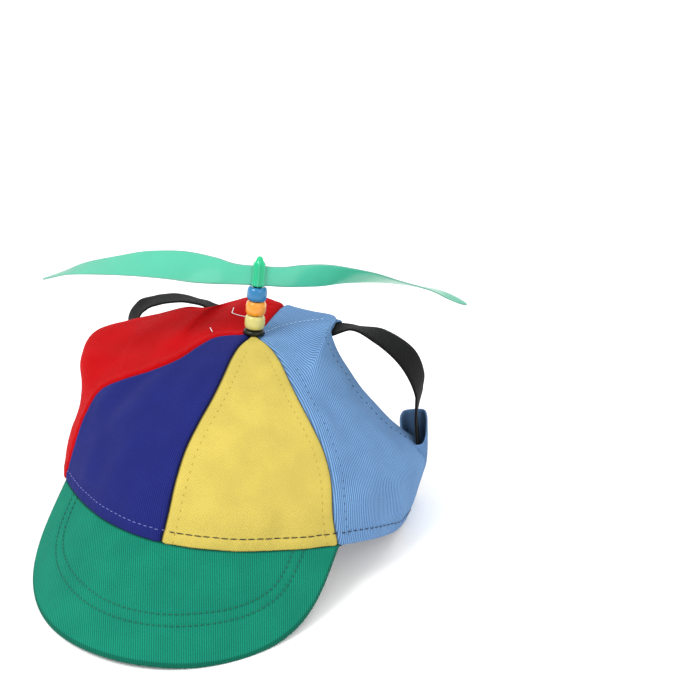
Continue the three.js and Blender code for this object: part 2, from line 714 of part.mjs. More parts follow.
let height = WASHER_SEAT;
const stackOn = (mesh, pieceHeight) => {
  mesh.position.z = height;
  height += pieceHeight + STACK_GAP;
  stack.add(mesh);
};
const gunmetal = new THREE.MeshStandardMaterial({ color: COLOURS.gunmetal, roughness: 0.35, metalness: 0.8 });
stackOn(piece("washer", washer(), gunmetal), WASHER_HEIGHT);
stackOn(piece("bead_yellow", bead(), plastic(COLOURS.beadYellow)), BEAD_HEIGHT);
stackOn(piece("bead_orange", bead(), plastic(COLOURS.beadOrange)), BEAD_HEIGHT);
stackOn(piece("bead_blue", bead(), plastic(COLOURS.beadBlue)), BEAD_HEIGHT);

const spindleLength = height + HUB_BORE_DEPTH - STACK_GAP;
stack.add(piece("spindle", spindle(spindleLength), gunmetal));

const rotor = piece("propeller", propeller(), plastic(COLOURS.mint, 0.3));
rotor.rotation.z = PROPELLER_TURN;
stackOn(rotor, HUB_PROFILE.at(-1).z);

const propellerCap = new THREE.Group();
propellerCap.add(cap);

export default propellerCap;
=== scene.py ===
"""Looks of a pet's propeller cap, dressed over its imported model.

Everything is in metres in the model's own frame: front is -Y, the wearer's left is +X, up is +Z. The cap is
worked out with its rim plane level, and then leaned back as it rests on a table.
"""
import math
from collections import namedtuple

import bpy
import numpy as np
from bpy.props import FloatProperty, FloatVectorProperty, PointerProperty
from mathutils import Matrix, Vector


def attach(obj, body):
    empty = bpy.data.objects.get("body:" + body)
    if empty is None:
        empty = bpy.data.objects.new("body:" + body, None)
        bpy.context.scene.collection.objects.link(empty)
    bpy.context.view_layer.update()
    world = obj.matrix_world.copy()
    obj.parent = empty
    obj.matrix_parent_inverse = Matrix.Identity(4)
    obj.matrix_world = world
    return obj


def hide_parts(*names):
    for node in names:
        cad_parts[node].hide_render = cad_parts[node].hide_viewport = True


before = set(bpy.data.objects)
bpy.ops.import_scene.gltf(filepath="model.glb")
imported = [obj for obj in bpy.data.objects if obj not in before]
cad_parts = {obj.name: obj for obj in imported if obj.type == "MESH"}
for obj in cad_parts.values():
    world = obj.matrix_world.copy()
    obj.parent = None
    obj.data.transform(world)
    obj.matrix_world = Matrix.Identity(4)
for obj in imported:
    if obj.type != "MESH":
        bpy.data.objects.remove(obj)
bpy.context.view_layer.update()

bl_info = {
    "name": "Propeller cap",
    "version": (1, 0, 0),
    "blender": (4, 5, 0),
    "location": "View3D > Sidebar > Cap",
    "description": "Dresses a propeller cap in twill, stitching, webbing and moulded plastic",
    "category": "Object",
}

MM = 0.001
CAP = "cap"
ROTOR = "propeller"
UP = np.array([0.0, 0.0, 1.0])


def length(name, description, default):
    """A length that a user can change, in metres."""
    return FloatProperty(name=name, description=description, default=default, unit="LENGTH", precision=5)


def angle(name, description, degrees):
    """An angle that a user can change."""
    return FloatProperty(name=name, description=description, default=math.radians(degrees), unit="ROTATION")


def colour(name, description, default):
    """A colour that a user can change, in sRGB."""
    return FloatVectorProperty(
        name=name, description=description, default=default, subtype="COLOR_GAMMA", size=3, min=0, max=1
    )


class CapSizes(bpy.types.PropertyGroup):
    """Sizes of the cap's pieces"""

    rim_half_width: length("Rim half width", "From the centre line to a brim corner", 0.064)
    front_depth: length("Front depth", "From the brim corners' line to the front of the rim", 0.038)
    apex_back: length("Apex back", "From the brim corners' line back to the apex", 0.047)
    apex_height: length("Apex height", "Height of the apex over the rim plane", 0.0665)
    dome_lean: length("Dome lean", "How far the centre seam leans to the left halfway up", 0.003)
    cloth: length("Cloth", "Thickness of a crown wall", 0.0016)
    hole_radius: length("Spindle hole", "Radius of the hole at the apex", 0.0021)
    brim_length: length("Brim length", "How far the brim stands out at its middle", 0.0523)
    brim_half_width: length("Brim half width", "From the centre line to the brim's side", 0.0639)
    brim_sway: length("Brim sway", "How far the brim's front leans to the left", 0.0012)
    brim_slope: angle("Brim slope", "Fall of the brim below the rim plane", 39.5)
    brim_thickness: length("Brim thickness", "Board and both layers of twill", 0.0026)
    brim_tuck: length("Brim tuck", "How far the brim runs in under the crown", 0.0022)
    strap_width: length("Strap width", "Width of the elastic", 0.015)
    strap_thickness: length("Strap thickness", "Thickness of the elastic", 0.0013)
    bead_radius: length("Bead radius", "Radius of a pony bead", 0.00445)
    bead_height: length("Bead height", "Height of a pony bead", 0.00605)
    bore_radius: length("Bore radius", "Radius of the bore through beads and washer", 0.0019)
    washer_radius: length("Washer radius", "Radius of the eyelet washer", 0.0048)
    washer_height: length("Washer height", "Height of the eyelet washer", 0.002)
    stack_gap: length("Stack gap", "Clearance between neighbours on the spindle", 0.0003)
    washer_seat: length("Washer seat", "Height of the washer's foot over the apex", 0.0006)
    propeller_radius: length("Propeller radius", "From the axis to a blade's tip", 0.092)
    blade_thickness: length("Blade thickness", "Thickness of a blade at mid chord", 0.001)
    propeller_turn: angle("Propeller turn", "Turn of the propeller about its spindle", 27)
    rest_lean: angle("Rest lean", "How far back the cap leans where it rests", 11.3)
    thread: length("Thread", "Thickness of the sewing thread", 0.0005)
    twill_pitch: length("Twill pitch", "From one diagonal rib of the weave to the next", 0.00086)


class CapColours(bpy.types.PropertyGroup):
    """Colours of the cap's pieces"""

    blue: colour("Blue twill", "Right front panel", (0.111, 0.134, 0.394))
    yellow: colour("Yellow twill", "Left front panel", (0.753, 0.678, 0.327))
    red: colour("Red twill", "Right side panel", (0.673, 0.006, 0.026))
    sky: colour("Sky blue twill", "Left side panel", (0.376, 0.515, 0.679))
    green: colour("Green twill", "Brim", (0.064, 0.455, 0.366))
    elastic: colour("Elastic", "Strap", (0.026, 0.026, 0.029))
    thread_dark: colour("Dark thread", "Hem of the yellow panel", (0.13, 0.11, 0.09))
    thread_straw: colour("Straw thread", "Seams of the yellow panel", (0.66, 0.52, 0.20))
    thread_pale: colour("Pale thread", "Hem of the blue panel", (0.46, 0.48, 0.72))
    thread_denim: colour("Denim thread", "Hem and ear edge of the sky blue panel", (0.13, 0.20, 0.31))
    thread_maroon: colour("Maroon thread", "Edges of the red panel", (0.55, 0.03, 0.07))
    thread_white: colour("White thread", "Loose tacks", (0.93, 0.93, 0.94))
    thread_ice: colour("Ice thread", "Casing of the sky blue panel", (0.66, 0.78, 0.90))
    thread_green: colour("Green thread", "Rows on the brim", (0.02, 0.33, 0.26))
    bead_yellow: colour("Yellow bead", "Lowest bead", (0.783, 0.746, 0.439))
    bead_orange: colour("Orange bead", "Middle bead", (0.898, 0.580, 0.138))
    bead_blue: colour("Blue bead", "Upper bead", (0.080, 0.446, 0.647))
    mint: colour("Propeller", "Translucent moulded plastic", (0.38, 0.82, 0.70))
    mint_hub: colour("Propeller hub", "Valleys between the hub's ribs", (0.10, 0.84, 0.60))
    mint_edge: colour("Propeller edge", "Thin edges of the moulded plastic", (0.56, 0.70, 0.66))
    gunmetal: colour("Washer", "Dark plated metal", (0.12, 0.12, 0.09))
    floor: colour("Floor", "Studio floor", (0.995, 0.995, 0.995))


def sizes():
    """The sizes kept with the scene."""
    return bpy.context.scene.cap_sizes


def colours():
    """The colours kept with the scene."""
    return bpy.context.scene.cap_colours


# Tables of the cap's shape, in millimetres and degrees

REST_SHIFT = (0.6, -11, 21.5)

Fullness = namedtuple("Fullness", "across power")
DOME_FULLNESS = [Fullness(-1, 1.95), Fullness(0, 1.6), Fullness(1, 1.72)]

# How far each front seam sways off its straight run from the apex to the rim, as a share of the rim's half
# width.
Sway = namedtuple("Sway", "at right centre left")
SEAM_SWAY = [
    Sway(0.00, -0.15, -0.30, 0.12),
    Sway(0.12, -0.12, -0.24, 0.09),
    Sway(0.20, 0.05, -0.15, 0.03),
    Sway(0.30, 0.17, -0.06, -0.03),
    Sway(0.40, 0.12, -0.03, -0.04),
    Sway(0.50, 0.00, -0.04, -0.02),
    Sway(0.60, -0.10, -0.045, 0.00),
    Sway(0.70, -0.06, -0.025, 0.00),
    Sway(0.85, 0.01, 0.01, -0.02),
    Sway(1.00, 0.00, 0.02, 0.00),
]
SEAMS = {"right": -1.0, "centre": 0.0, "left": 1.0}

# Side panel sections from the front seam to the rear edge at x, y, z: inward is the turn there, lead how
# strongly a section carries on from the front panel.
Section = namedtuple("Section", "at x y z inward lead")
SKY_SECTIONS = [
    Section(0.000, 0, 81, 72.5, 0, 1),
    Section(0.140, 14, 80, 72.3, 0, 0.95),
    Section(0.270, 26.3, 76, 73, 0, 0.56),
    Section(0.345, 31.7, 57.5, 71.3, 0, 0.95),
    Section(0.420, 34.3, 60, 63.5, 0, 1),
    Section(0.500, 40.3, 61, 55.3, 0, 1),
    Section(0.580, 46.8, 62, 47.5, 0, 1),
    Section(0.650, 54.5, 63.5, 40.2, 5, 1),
    Section(0.710, 60.6, 66, 34.4, 10, 1),
    Section(0.760, 64.8, 71, 29.2, 16, 1),
    Section(0.820, 72, 85, 18, 24, 1),
    Section(0.910, 71, 86, 3, 24, 1),
    Section(1.000, 71, 74, -9, 16, 1),
]
RED_SECTIONS = [
    Section(0.000, 0, 81, 72.5, 0, 1),
    Section(0.120, 12.8, 80, 74.4, 0, 0.95),
    Section(0.240, 25, 79, 70, 0, 0.56),
    Section(0.310, 29, 60.5, 70.6, 0, 0.95),
    Section(0.400, 40, 63, 68, 0, 1),
    Section(0.480, 53, 62, 63, 0, 1),
    Section(0.540, 66.5, 59, 58, 5, 1),
    Section(0.620, 82, 56, 49.5, 15, 1),
    Section(0.700, 80, 66, 32, 20, 1),
    Section(0.820, 72, 85, 18, 24, 1),
    Section(0.910, 71, 86, 3, 24, 1),
    Section(1.000, 71, 74, -9, 16, 1),
]
FAN_END = 0.3

# The strap's ear arcs, from the casing's mouth to the sleeve's, with the angles of its width direction.
Arc = namedtuple("Arc", "x y z turn dip")
SKY_ARC = [
    Arc(38.5, 68, 71.8, 22, 9),
    Arc(50.2, 69, 70.1, 9, -10),
    Arc(63, 71, 62.5, -8, -12),
    Arc(68.4, 73, 53.6, -7, 4),
    Arc(69.7, 74, 47, 6, 12),
]
RED_ARC = [
    Arc(33, 69, 69.4, -20, 6),
    Arc(39.7, 69, 69.7, -20, 8),
    Arc(48.5, 70, 68.8, -18, 2),
    Arc(55, 71, 67.2, -18, -1),
    Arc(62, 72, 64.2, -32, 5),
    Arc(69, 73, 58.8, -46, 11),
    Arc(73, 74, 51, -38, 10),
]

# The side panels: which side of the cap, the seam they start from, and where the casing holds the strap.
Side = namedtuple("Side", "sign seam sections casing_at arc")
SIDES = {
    "red": Side(-1, "right", RED_SECTIONS, (0.005, 0.08, 0.16, 0.24), RED_ARC),
    "sky": Side(1, "left", SKY_SECTIONS, (0.005, 0.09, 0.18, 0.27), SKY_ARC),
}

# The sleeves at the side tips: where they hold the strap, the mouth's middle, and the cut and flare of the
# mouth.
SLEEVE_AT = (0.84, 0.89)
SLEEVE_MOUTH = (69.2, 75.5, 35)
SLEEVE_SLANT = math.radians(23)
SLEEVE_FLARE = 6.0
TUNNEL_INSET = 8.6
TUNNEL_DEPTH = 3.15
TUNNEL_WALL = 1.5
TUNNEL_CLOTH = 0.9
TUNNEL_LIP = 0.4
# The tunnels' weave is this much finer than the panels'
FINE_WEAVE = 8

# How square the sections of tunnels, strap and blades are: 2 is an ellipse
TUNNEL_SQUARENESS = 3.0
STRAP_SQUARENESS = 5.0
BLADE_SQUARENESS = 2.6

Lying = namedtuple("Lying", "x y up")
CHIN_RUN = [
    Lying(66, 77, 9),
    Lying(63.5, 76, 5),
    Lying(59, 75, 2),
    Lying(51, 73, 0.2),
    Lying(38, 68, 0),
    Lying(19, 63, 0),
]

Blade = namedtuple("Blade", "share chord pitch drop")
BLADE_SECTIONS = [
    Blade(0.00, 8.8, 90, 0),
    Blade(0.08, 9.0, 88, 0),
    Blade(0.20, 11.5, 72, -1),
    Blade(0.30, 13.5, 60, -1.8),
    Blade(0.42, 15.2, 41, -2.4),
    Blade(0.55, 16.0, 28.5, -2),
    Blade(0.64, 15.6, 20.5, -1),
    Blade(0.80, 13.2, 10, 1.2),
    Blade(0.90, 10.4, -3, 3.8),
    Blade(0.96, 7.2, -7, 5.8),
    Blade(1.00, 2.0, -9, 7.2),
]

BLADE_LIFT = 0.2
RIBS = 6
RIB_HEIGHT = 0.75
RIB_PHASE = 0.9
RIB_SHARPNESS = 1.5
RIB_FOOT = (-0.1, 0.3)
RIB_TOP = (9.4, 11.2)

Turned = namedtuple("Turned", "r z")
HUB_PROFILE = [
    Turned(0.0, 0.0),
    Turned(2.1, 0.0),
    Turned(2.35, 0.3),
    Turned(2.35, 5.0),
    Turned(2.3, 9.8),
    Turned(2.0, 10.8),
    Turned(1.6, 11.4),
    Turned(1.4, 12.0),
    Turned(1.15, 12.6),
    Turned(0.7, 13.05),
    Turned(0.3, 13.18),
    Turned(0.0, 13.2),
]

# Soft dents and folds of the cloth: where they lie on a panel as shares of it from the first seam and from
# the top, their half sizes along and across the fold in millimetres, the fold's turn, and its depth.
Dent = namedtuple("Dent", "u v along across turn depth")
DENTS = {
    "blue": [
        Dent(0.30, 0.62, 26, 7, 70, -1.3),
        Dent(0.62, 0.50, 24, 6, 60, -1.0),
        Dent(0.47, 0.55, 20, 6, 65, 0.8),
        Dent(0.20, 0.35, 20, 8, 30, 0.8),
        Dent(0.75, 0.80, 18, 8, 15, -0.7),
    ],
    "yellow": [
        Dent(0.30, 0.45, 24, 8, 70, -0.7),
        Dent(0.65, 0.70, 22, 9, 100, -0.6),
        Dent(0.50, 0.88, 30, 5, 5, 0.5),
    ],
    "sky": [
        Dent(0.30, 0.55, 34, 6, 90, -1.1),
        Dent(0.72, 0.55, 24, 6, 95, 0.6),
        Dent(0.45, 0.86, 26, 7, 10, -0.7),
    ],
    "red": [
        Dent(0.40, 0.45, 26, 8, 40, -1.2),
        Dent(0.55, 0.65, 22, 7, 60, 0.9),
        Dent(0.35, 0.80, 20, 8, 20, -0.8),
    ],
}
SLACK_SEEDS = {"blue": 11, "yellow": 12, "sky": 13, "red": 14, "brim": 21}
HEAD_CENTRE = np.array([0, 30, 0]) * MM

# Pitch of the elastic's ribs and warp, in metres, and the beads' roughness
ELASTIC_RIB, ELASTIC_WARP = 0.00085, 0.0012
BEAD_ROUGHNESS = 0.18

# The seam attribute: far from every seam, and its value in the valleys of the propeller's hub
NO_SEAM = 99.0
HUB_VALLEY = -1.5
HUB_END = -0.2

# How far from a panel's edge the painted shade along its seam is lost, in millimetres
DARK, FAINT, NONE = 0.0, 0.35, 9.0
FRONT_SEAMS = {"blue": ("right", "centre"), "yellow": ("centre", "left")}
SEWN_EDGES = {
    "blue": {"left": NONE, "right": DARK},
    "yellow": {"left": DARK, "right": FAINT},
    "red": {"left": NONE, "top": NONE},
    "sky": {"left": FAINT, "top": NONE},
}

# Reliefs beside a seam, a hem and the brim's rows: height, distance and half width, all in millimetres. The
# hem's line lies at its depth, its puckers at a share of that depth, and puckers have a pitch along the edge.
Ridge = namedtuple("Ridge", "height at width")
SEAM_GROOVE = Ridge(-0.8, 0.0, 0.8)
SEAM_ROLL = Ridge(0.3, 2.8, 1.7)
SEAM_PUCKER = Ridge(0.1, 3.5, 2.5)
SEAM_PUCKER_PITCH = 5.3
HEM_STEP = 0.28
HEM_STEP_FROM, HEM_STEP_TO = -0.6, 0.8
HEM_LINE = Ridge(-0.35, 0.0, 0.7)
HEM_PUCKER_HEIGHT, HEM_PUCKER_AT, HEM_PUCKER_WIDTH = 0.12, 0.6, 3.0
HEM_PUCKER_PITCH = 6.1
ROW_SWELL = Ridge(0.12, 0.0, 2.2)
ROW_GROOVE = Ridge(-0.4, 0.0, 0.8)
HEM_DEPTH, HEM_STRENGTH = 5.0, 1.0
EAR_HEM_DEPTH, EAR_HEM_STRENGTH = 6.5, 0.4

# Unevenness of the cloth: how many waves, their lengths and height, and how it dies down by seams and hems
SLACK_WAVES = 7
SLACK_LENGTHS = (16, 34)
SLACK_HEIGHT = 0.13
SEAM_CALM, HEM_CALM = 9, 8
HEM_SLACK = 0.35
BRIM_SLACK, BRIM_CALM = 0.3, 10

# How softly cloth, brim and strap give where they meet the table
TABLE_GIVE, BRIM_GIVE, STRAP_GIVE = 0.5, 0.3, 0.2

# Grid lines across and down, the steps beside a sewn or hemmed edge and beside a plain one, and the counts of
# sides and steps of tubes
FRONT_GRID = (46, 64)
SIDE_GRID = (54, 110)
BRIM_GRID = (170, 56)
FINE_STEPS = np.array([0, 0.004, 0.009, 0.015, 0.023, 0.033, 0.045])
PLAIN_STEPS = np.array([0, 0.02])
PATTERN_GRID = (30, 20)
PATTERN_ROUNDS = 400
PATTERN_PULL = 1.6
TUNNEL_SIDES, TUNNEL_STEPS = 40, 30
STRAP_SIDES, STRAP_STEPS = 20, 14
BLADE_SIDES, BLADE_STEPS = 20, 70
TURNED_SIDES, HUB_SIDES, HUB_STEPS = 48, 96, 60

BRIM_SQUARENESS = 4.2
BRIM_END = 0.156
BRIM_ROWS = (15.6, 20.6)
BRIM_ROW_TAPER = 0.2

# Twills of the five colours: the ribs' slant, contrast and pitch, and the tones of dark and bright yarns
TWILLS = {
    "blue": {"slant": -10, "contrast": 0.8, "pitch": 1.05, "shade": 0.66, "light": 1.38},
    "yellow": {"slant": -45, "contrast": 0.6, "pitch": 1.0, "shade": 0.84, "light": 1.15},
    "red": {"slant": -50, "contrast": 0.35, "pitch": 1.0, "shade": 0.88, "light": 1.12},
    "sky": {"slant": 0, "contrast": 1.4, "pitch": 1.16, "shade": 0.62, "light": 1.46},
    "green": {"slant": -21, "contrast": 1.0, "pitch": 1.05, "shade": 0.7, "light": 1.34},
}


# Curves and frames

def unit(vectors):
    """Vectors of length one."""
    return vectors / np.maximum(np.linalg.norm(vectors, axis=-1, keepdims=True), 1e-12)


def smooth_step(x, low, high):
    """0 below low, 1 above high, and an S-curve between."""
    t = np.clip((x - low) / (high - low), 0, 1)
    return t * t * (3 - 2 * t)


def column(table, name, scale=1.0):
    """One column of a table, as an array."""
    return np.array([getattr(row, name) for row in table], float) * scale


def columns(table, names, scale=1.0):
    """Several columns of a table, side by side."""
    return np.stack([column(table, name, scale) for name in names], -1)


def spline(points, t, closed=False):
    """A centripetal Catmull-Rom curve through the points, at places t from 0 to 1."""
    points = np.asarray(points, float)
    count = len(points)
    spans = count if closed else count - 1
    place = np.asarray(t, float) * spans
    first = np.clip(np.floor(place).astype(int), 0, spans - 1)
    w = (place - first)[..., None]
    if closed:
        a, b, c, d = (points[(first + k) % count] for k in (-1, 0, 1, 2))
    else:
        ends = [2 * points[0] - points[1], *points, 2 * points[-1] - points[-2]]
        a, b, c, d = (np.array(ends)[first + k] for k in range(4))
    pairs = ((a, b), (b, c), (c, d))
    gap = [np.sqrt(np.maximum(np.linalg.norm(q - p, axis=-1, keepdims=True), 1e-9)) for p, q in pairs]
    leave = ((b - a) / gap[0] - (c - a) / (gap[0] + gap[1]) + (c - b) / gap[1]) * gap[1]
    arrive = ((c - b) / gap[1] - (d - b) / (gap[1] + gap[2]) + (d - c) / gap[2]) * gap[1]
    return b + leave * w + (3 * (c - b) - 2 * leave - arrive) * w**2 + (2 * (b - c) + leave + arrive) * w**3


def smooth_read(table, name, at):
    """A column of a table at places between its rows, on a smooth curve through them."""
    places, values = column(table, "at"), column(table, name)
    numbers = np.arange(len(places))
    low, high = np.maximum(numbers - 1, 0), np.minimum(numbers + 1, len(places) - 1)
    slopes = (values[high] - values[low]) / (places[high] - places[low])
    first = np.clip(np.searchsorted(places, at) - 1, 0, len(places) - 2)
    span = places[first + 1] - places[first]
    t = (at - places[first]) / span
    return (
        values[first] * (2 * t**3 - 3 * t**2 + 1)
        + slopes[first] * span * (t**3 - 2 * t**2 + t)
        + values[first + 1] * (3 * t**2 - 2 * t**3)
        + slopes[first + 1] * span * (t**3 - t**2)
    )


def turn_to_row(vectors):
    """Directions in the level cap's frame, turned to the resting one."""
    s, c = math.sin(sizes().rest_lean), math.cos(sizes().rest_lean)
    x, y, z = np.moveaxis(vectors, -1, 0)
    return np.stack([x, y * c + z * s, -y * s + z * c], -1)


def to_row(points, settle=TABLE_GIVE * MM):
    """Points in the level cap's frame, moved to where the cap rests; cloth gives where it meets the table."""
    moved = turn_to_row(points) + np.array(REST_SHIFT) * MM
    z = moved[..., 2]
    moved[..., 2] = np.where(z < settle, settle * np.exp((np.minimum(z, settle) - settle) / settle), z)
    return moved


# The crown's surfaces, in the level cap's frame

def rim_point(across):
    """The crown's lower edge over the brim, from -1 at the right corner to 1 at the left one."""
    s = sizes()
    across = np.asarray(across, float)
    return np.stack([s.rim_half_width * across, -s.front_depth * (1 - across**2), 0 * across], -1)


def dome_power(across):
    """Exponent of the dome's profile there."""
    return 2 / np.interp(across, column(DOME_FULLNESS, "across"), column(DOME_FULLNESS, "power"))


def front_point(across, down):
    """The front dome; down runs from 0 at the apex to 1 at the rim."""
    s = sizes()
    across, down = np.broadcast_arrays(np.asarray(across, float), np.asarray(down, float))
    rim = rim_point(across)
    turn = down * math.pi / 2
    power = dome_power(across)
    reach = np.sin(turn) ** power
    rise = np.maximum(np.cos(turn), 0) ** power
    lean = s.dome_lean * (1 - across**2) * np.sin(2 * turn)
    back = s.apex_back + (rim[..., 1] - s.apex_back) * reach
    return np.stack([rim[..., 0] * reach + lean, back, s.apex_height * rise], -1)


def hole_down(across):
    """How far down the front dome the spindle's hole ends."""
    s = sizes()
    rim = rim_point(across)
    reach = s.hole_radius / np.hypot(rim[..., 0], s.apex_back - rim[..., 1])
    return 2 / math.pi * np.arcsin(reach ** (1 / dome_power(across)))


def seam_across(seam, down):
    """Where a front seam runs across the dome."""
    return SEAMS[seam] + smooth_read(SEAM_SWAY, seam, np.asarray(down, float))


def seam_point(side, down, beyond=0.0):
    """The front dome by a side seam, as if on the +X side."""
    return front_point(seam_across(side.seam, down) + side.sign * beyond, down) * (side.sign, 1, 1)


def side_point(side, along, at):
    """A side panel's surface, as if on the +X side: along runs from the front seam to the rear edge, at from
    the apex to the rim."""
    along, at = np.broadcast_arrays(np.asarray(along, float), np.asarray(at, float))
    places = column(side.sections, "at")
    start = seam_point(side, at)
    end = spline(columns(side.sections, "xyz", MM), np.interp(at, places, np.linspace(0, 1, len(places))))
    inward = np.radians(np.interp(at, places, column(side.sections, "inward")))
    lead = np.interp(at, places, column(side.sections, "lead"))[..., None]
    reach = np.linalg.norm(end - start, axis=-1, keepdims=True)
    fanned = smooth_step(at, 0, FAN_END)[..., None]
    step = 1e-3
    below = np.maximum(at, hole_down(side.sign))
    heading = unit(seam_point(side, below, step) - seam_point(side, below, -step))
    leave = unit(np.array([0.0, 1.0, 0.0]) * (1 - fanned) + heading * fanned) * reach * lead
    arrive = np.stack([-np.sin(inward), np.cos(inward), 0 * inward], -1) * reach
    a = along[..., None]
    return (
        start * (2 * a**3 - 3 * a**2 + 1)
        + leave * (a**3 - 2 * a**2 + a)
        + end * (3 * a**2 - 2 * a**3)
        + arrive * (a**3 - a**2)
    )


# Cloth panels as grids of points

Panel = namedtuple("Panel", "points normals uv seam sewn")


def edge_steps(count, first, last):
    """Places from 0 to 1 for a grid's lines, closer together by its edges."""
    low = FINE_STEPS if first else PLAIN_STEPS
    high = 1 - (FINE_STEPS if last else PLAIN_STEPS)[::-1]
    middle = np.linspace(low[-1], high[0], count)
    return np.concatenate([low[:-1], middle, high[1:]])


def run_lengths(points, axis):
    """Distance along a grid's lines from its first point."""
    steps = np.linalg.norm(np.diff(points, axis=axis), axis=-1)
    start = np.zeros_like(np.take(steps, [0], axis=axis))
    return np.concatenate([start, np.cumsum(steps, axis=axis)], axis=axis)


def seam_pattern(points, normals):
    """Distances across and along the front seam of a side panel, whose ribs run straight beside that seam."""
    along = unit(points[-1, 0] - points[0, 0])
    across = unit(np.cross(along, normals.mean((0, 1))))
    return np.stack([points @ across, points @ along], -1)


def flat_pattern(points):
    """A grid's flat pattern, as its cloth was cut: its lengths kept as well as a flat sheet can."""
    rows, lines = (
        np.unique(np.linspace(0, size - 1, picked).astype(int))
        for size, picked in zip(points.shape, PATTERN_GRID)
    )
    coarse = points[np.ix_(rows, lines)]
    solid = (coarse - coarse.mean((0, 1))).reshape(-1, 3)
    _, _, axes = np.linalg.svd(solid, full_matrices=False)
    flat = solid @ axes[:2].T
    number = np.arange(len(flat)).reshape(coarse.shape[:2])
    neighbours = (
        (number[:, :-1], number[:, 1:]),
        (number[:-1], number[1:]),
        (number[:-1, :-1], number[1:, 1:]),
        (number[:-1, 1:], number[1:, :-1]),
    )
    first = np.concatenate([a.ravel() for a, _ in neighbours])
    last = np.concatenate([b.ravel() for _, b in neighbours])
    rest = np.linalg.norm(solid[last] - solid[first], axis=-1)
    share = PATTERN_PULL / np.bincount(np.concatenate([first, last]))[:, None]
    for _ in range(PATTERN_ROUNDS):
        run = flat[last] - flat[first]
        reach = np.maximum(np.linalg.norm(run, axis=-1), 1e-9)
        pull = run * ((reach - rest) / reach / 2)[:, None]
        move = np.zeros_like(flat)
        np.add.at(move, first, pull)
        np.add.at(move, last, -pull)
        flat = flat + move * share
    middle = number[:, number.shape[1] // 2]
    fall = unit(flat[middle[-1]] - flat[middle[0]])
    across = flat[number[-1, -1]] - flat[number[-1, 0]]
    wide = np.array([fall[1], -fall[0]])
    wide = wide if np.dot(wide, across) > 0 else -wide
    pattern = np.stack([flat @ wide, flat @ fall], -1).reshape(*number.shape, 2)
    spots = np.arange(points.shape[1])
    filled = np.array([[np.interp(spots, lines, line) for line in row.T] for row in pattern])
    spots = np.arange(points.shape[0])
    whole = [[np.interp(spots, rows, filled[:, k, j]) for j in range(points.shape[1])] for k in range(2)]
    return np.transpose(whole, (2, 1, 0))


def grid_normals(points):
    """Normals of a grid of points, pointing away from the head's hollow."""
    normals = unit(np.cross(np.gradient(points, axis=1), np.gradient(points, axis=0)))
    outward = np.sum(normals * (points - HEAD_CENTRE))
    return normals if outward > 0 else -normals


def ridge(distance, shape):
    """Height of a rounded ridge or groove, in millimetres, at distances from the edge in millimetres."""
    return shape.height * np.exp(-(((distance - shape.at) / shape.width) ** 2))


def sewn_relief(distance, run):
    """Height of the cloth beside a seam: a groove, the rolled allowance beside it, and fine puckers."""
    d = distance / MM
    pucker = ridge(d, SEAM_PUCKER) * np.sin(run / MM * 2 * math.pi / SEAM_PUCKER_PITCH)
    return (ridge(d, SEAM_GROOVE) + ridge(d, SEAM_ROLL) + pucker) * MM


def hem_relief(distance, run, depth):
    """Height of the cloth by a hem: a shallow step at the stitch line, with puckers between stitches."""
    d = distance / MM
    step = HEM_STEP * (1 - smooth_step(d, depth + HEM_STEP_FROM, depth + HEM_STEP_TO))
    gathered = Ridge(HEM_PUCKER_HEIGHT, depth * HEM_PUCKER_AT, HEM_PUCKER_WIDTH)
    pucker = ridge(d, gathered) * np.sin(run / MM * 2 * math.pi / HEM_PUCKER_PITCH)
    return (step + ridge(d - depth, HEM_LINE) + pucker) * MM


def slack(uv, seed):
    """Low, broad unevenness of soft cloth."""
    rng = np.random.default_rng(seed)
    total = 0
    for _ in range(SLACK_WAVES):
        direction = rng.uniform(0, math.pi)
        wave = rng.uniform(*SLACK_LENGTHS) * MM
        phase = rng.uniform(0, 2 * math.pi)
        run = uv[..., 0] * math.cos(direction) + uv[..., 1] * math.sin(direction)
        total = total + SLACK_HEIGHT * MM * np.sin(run * 2 * math.pi / wave + phase)
    return total


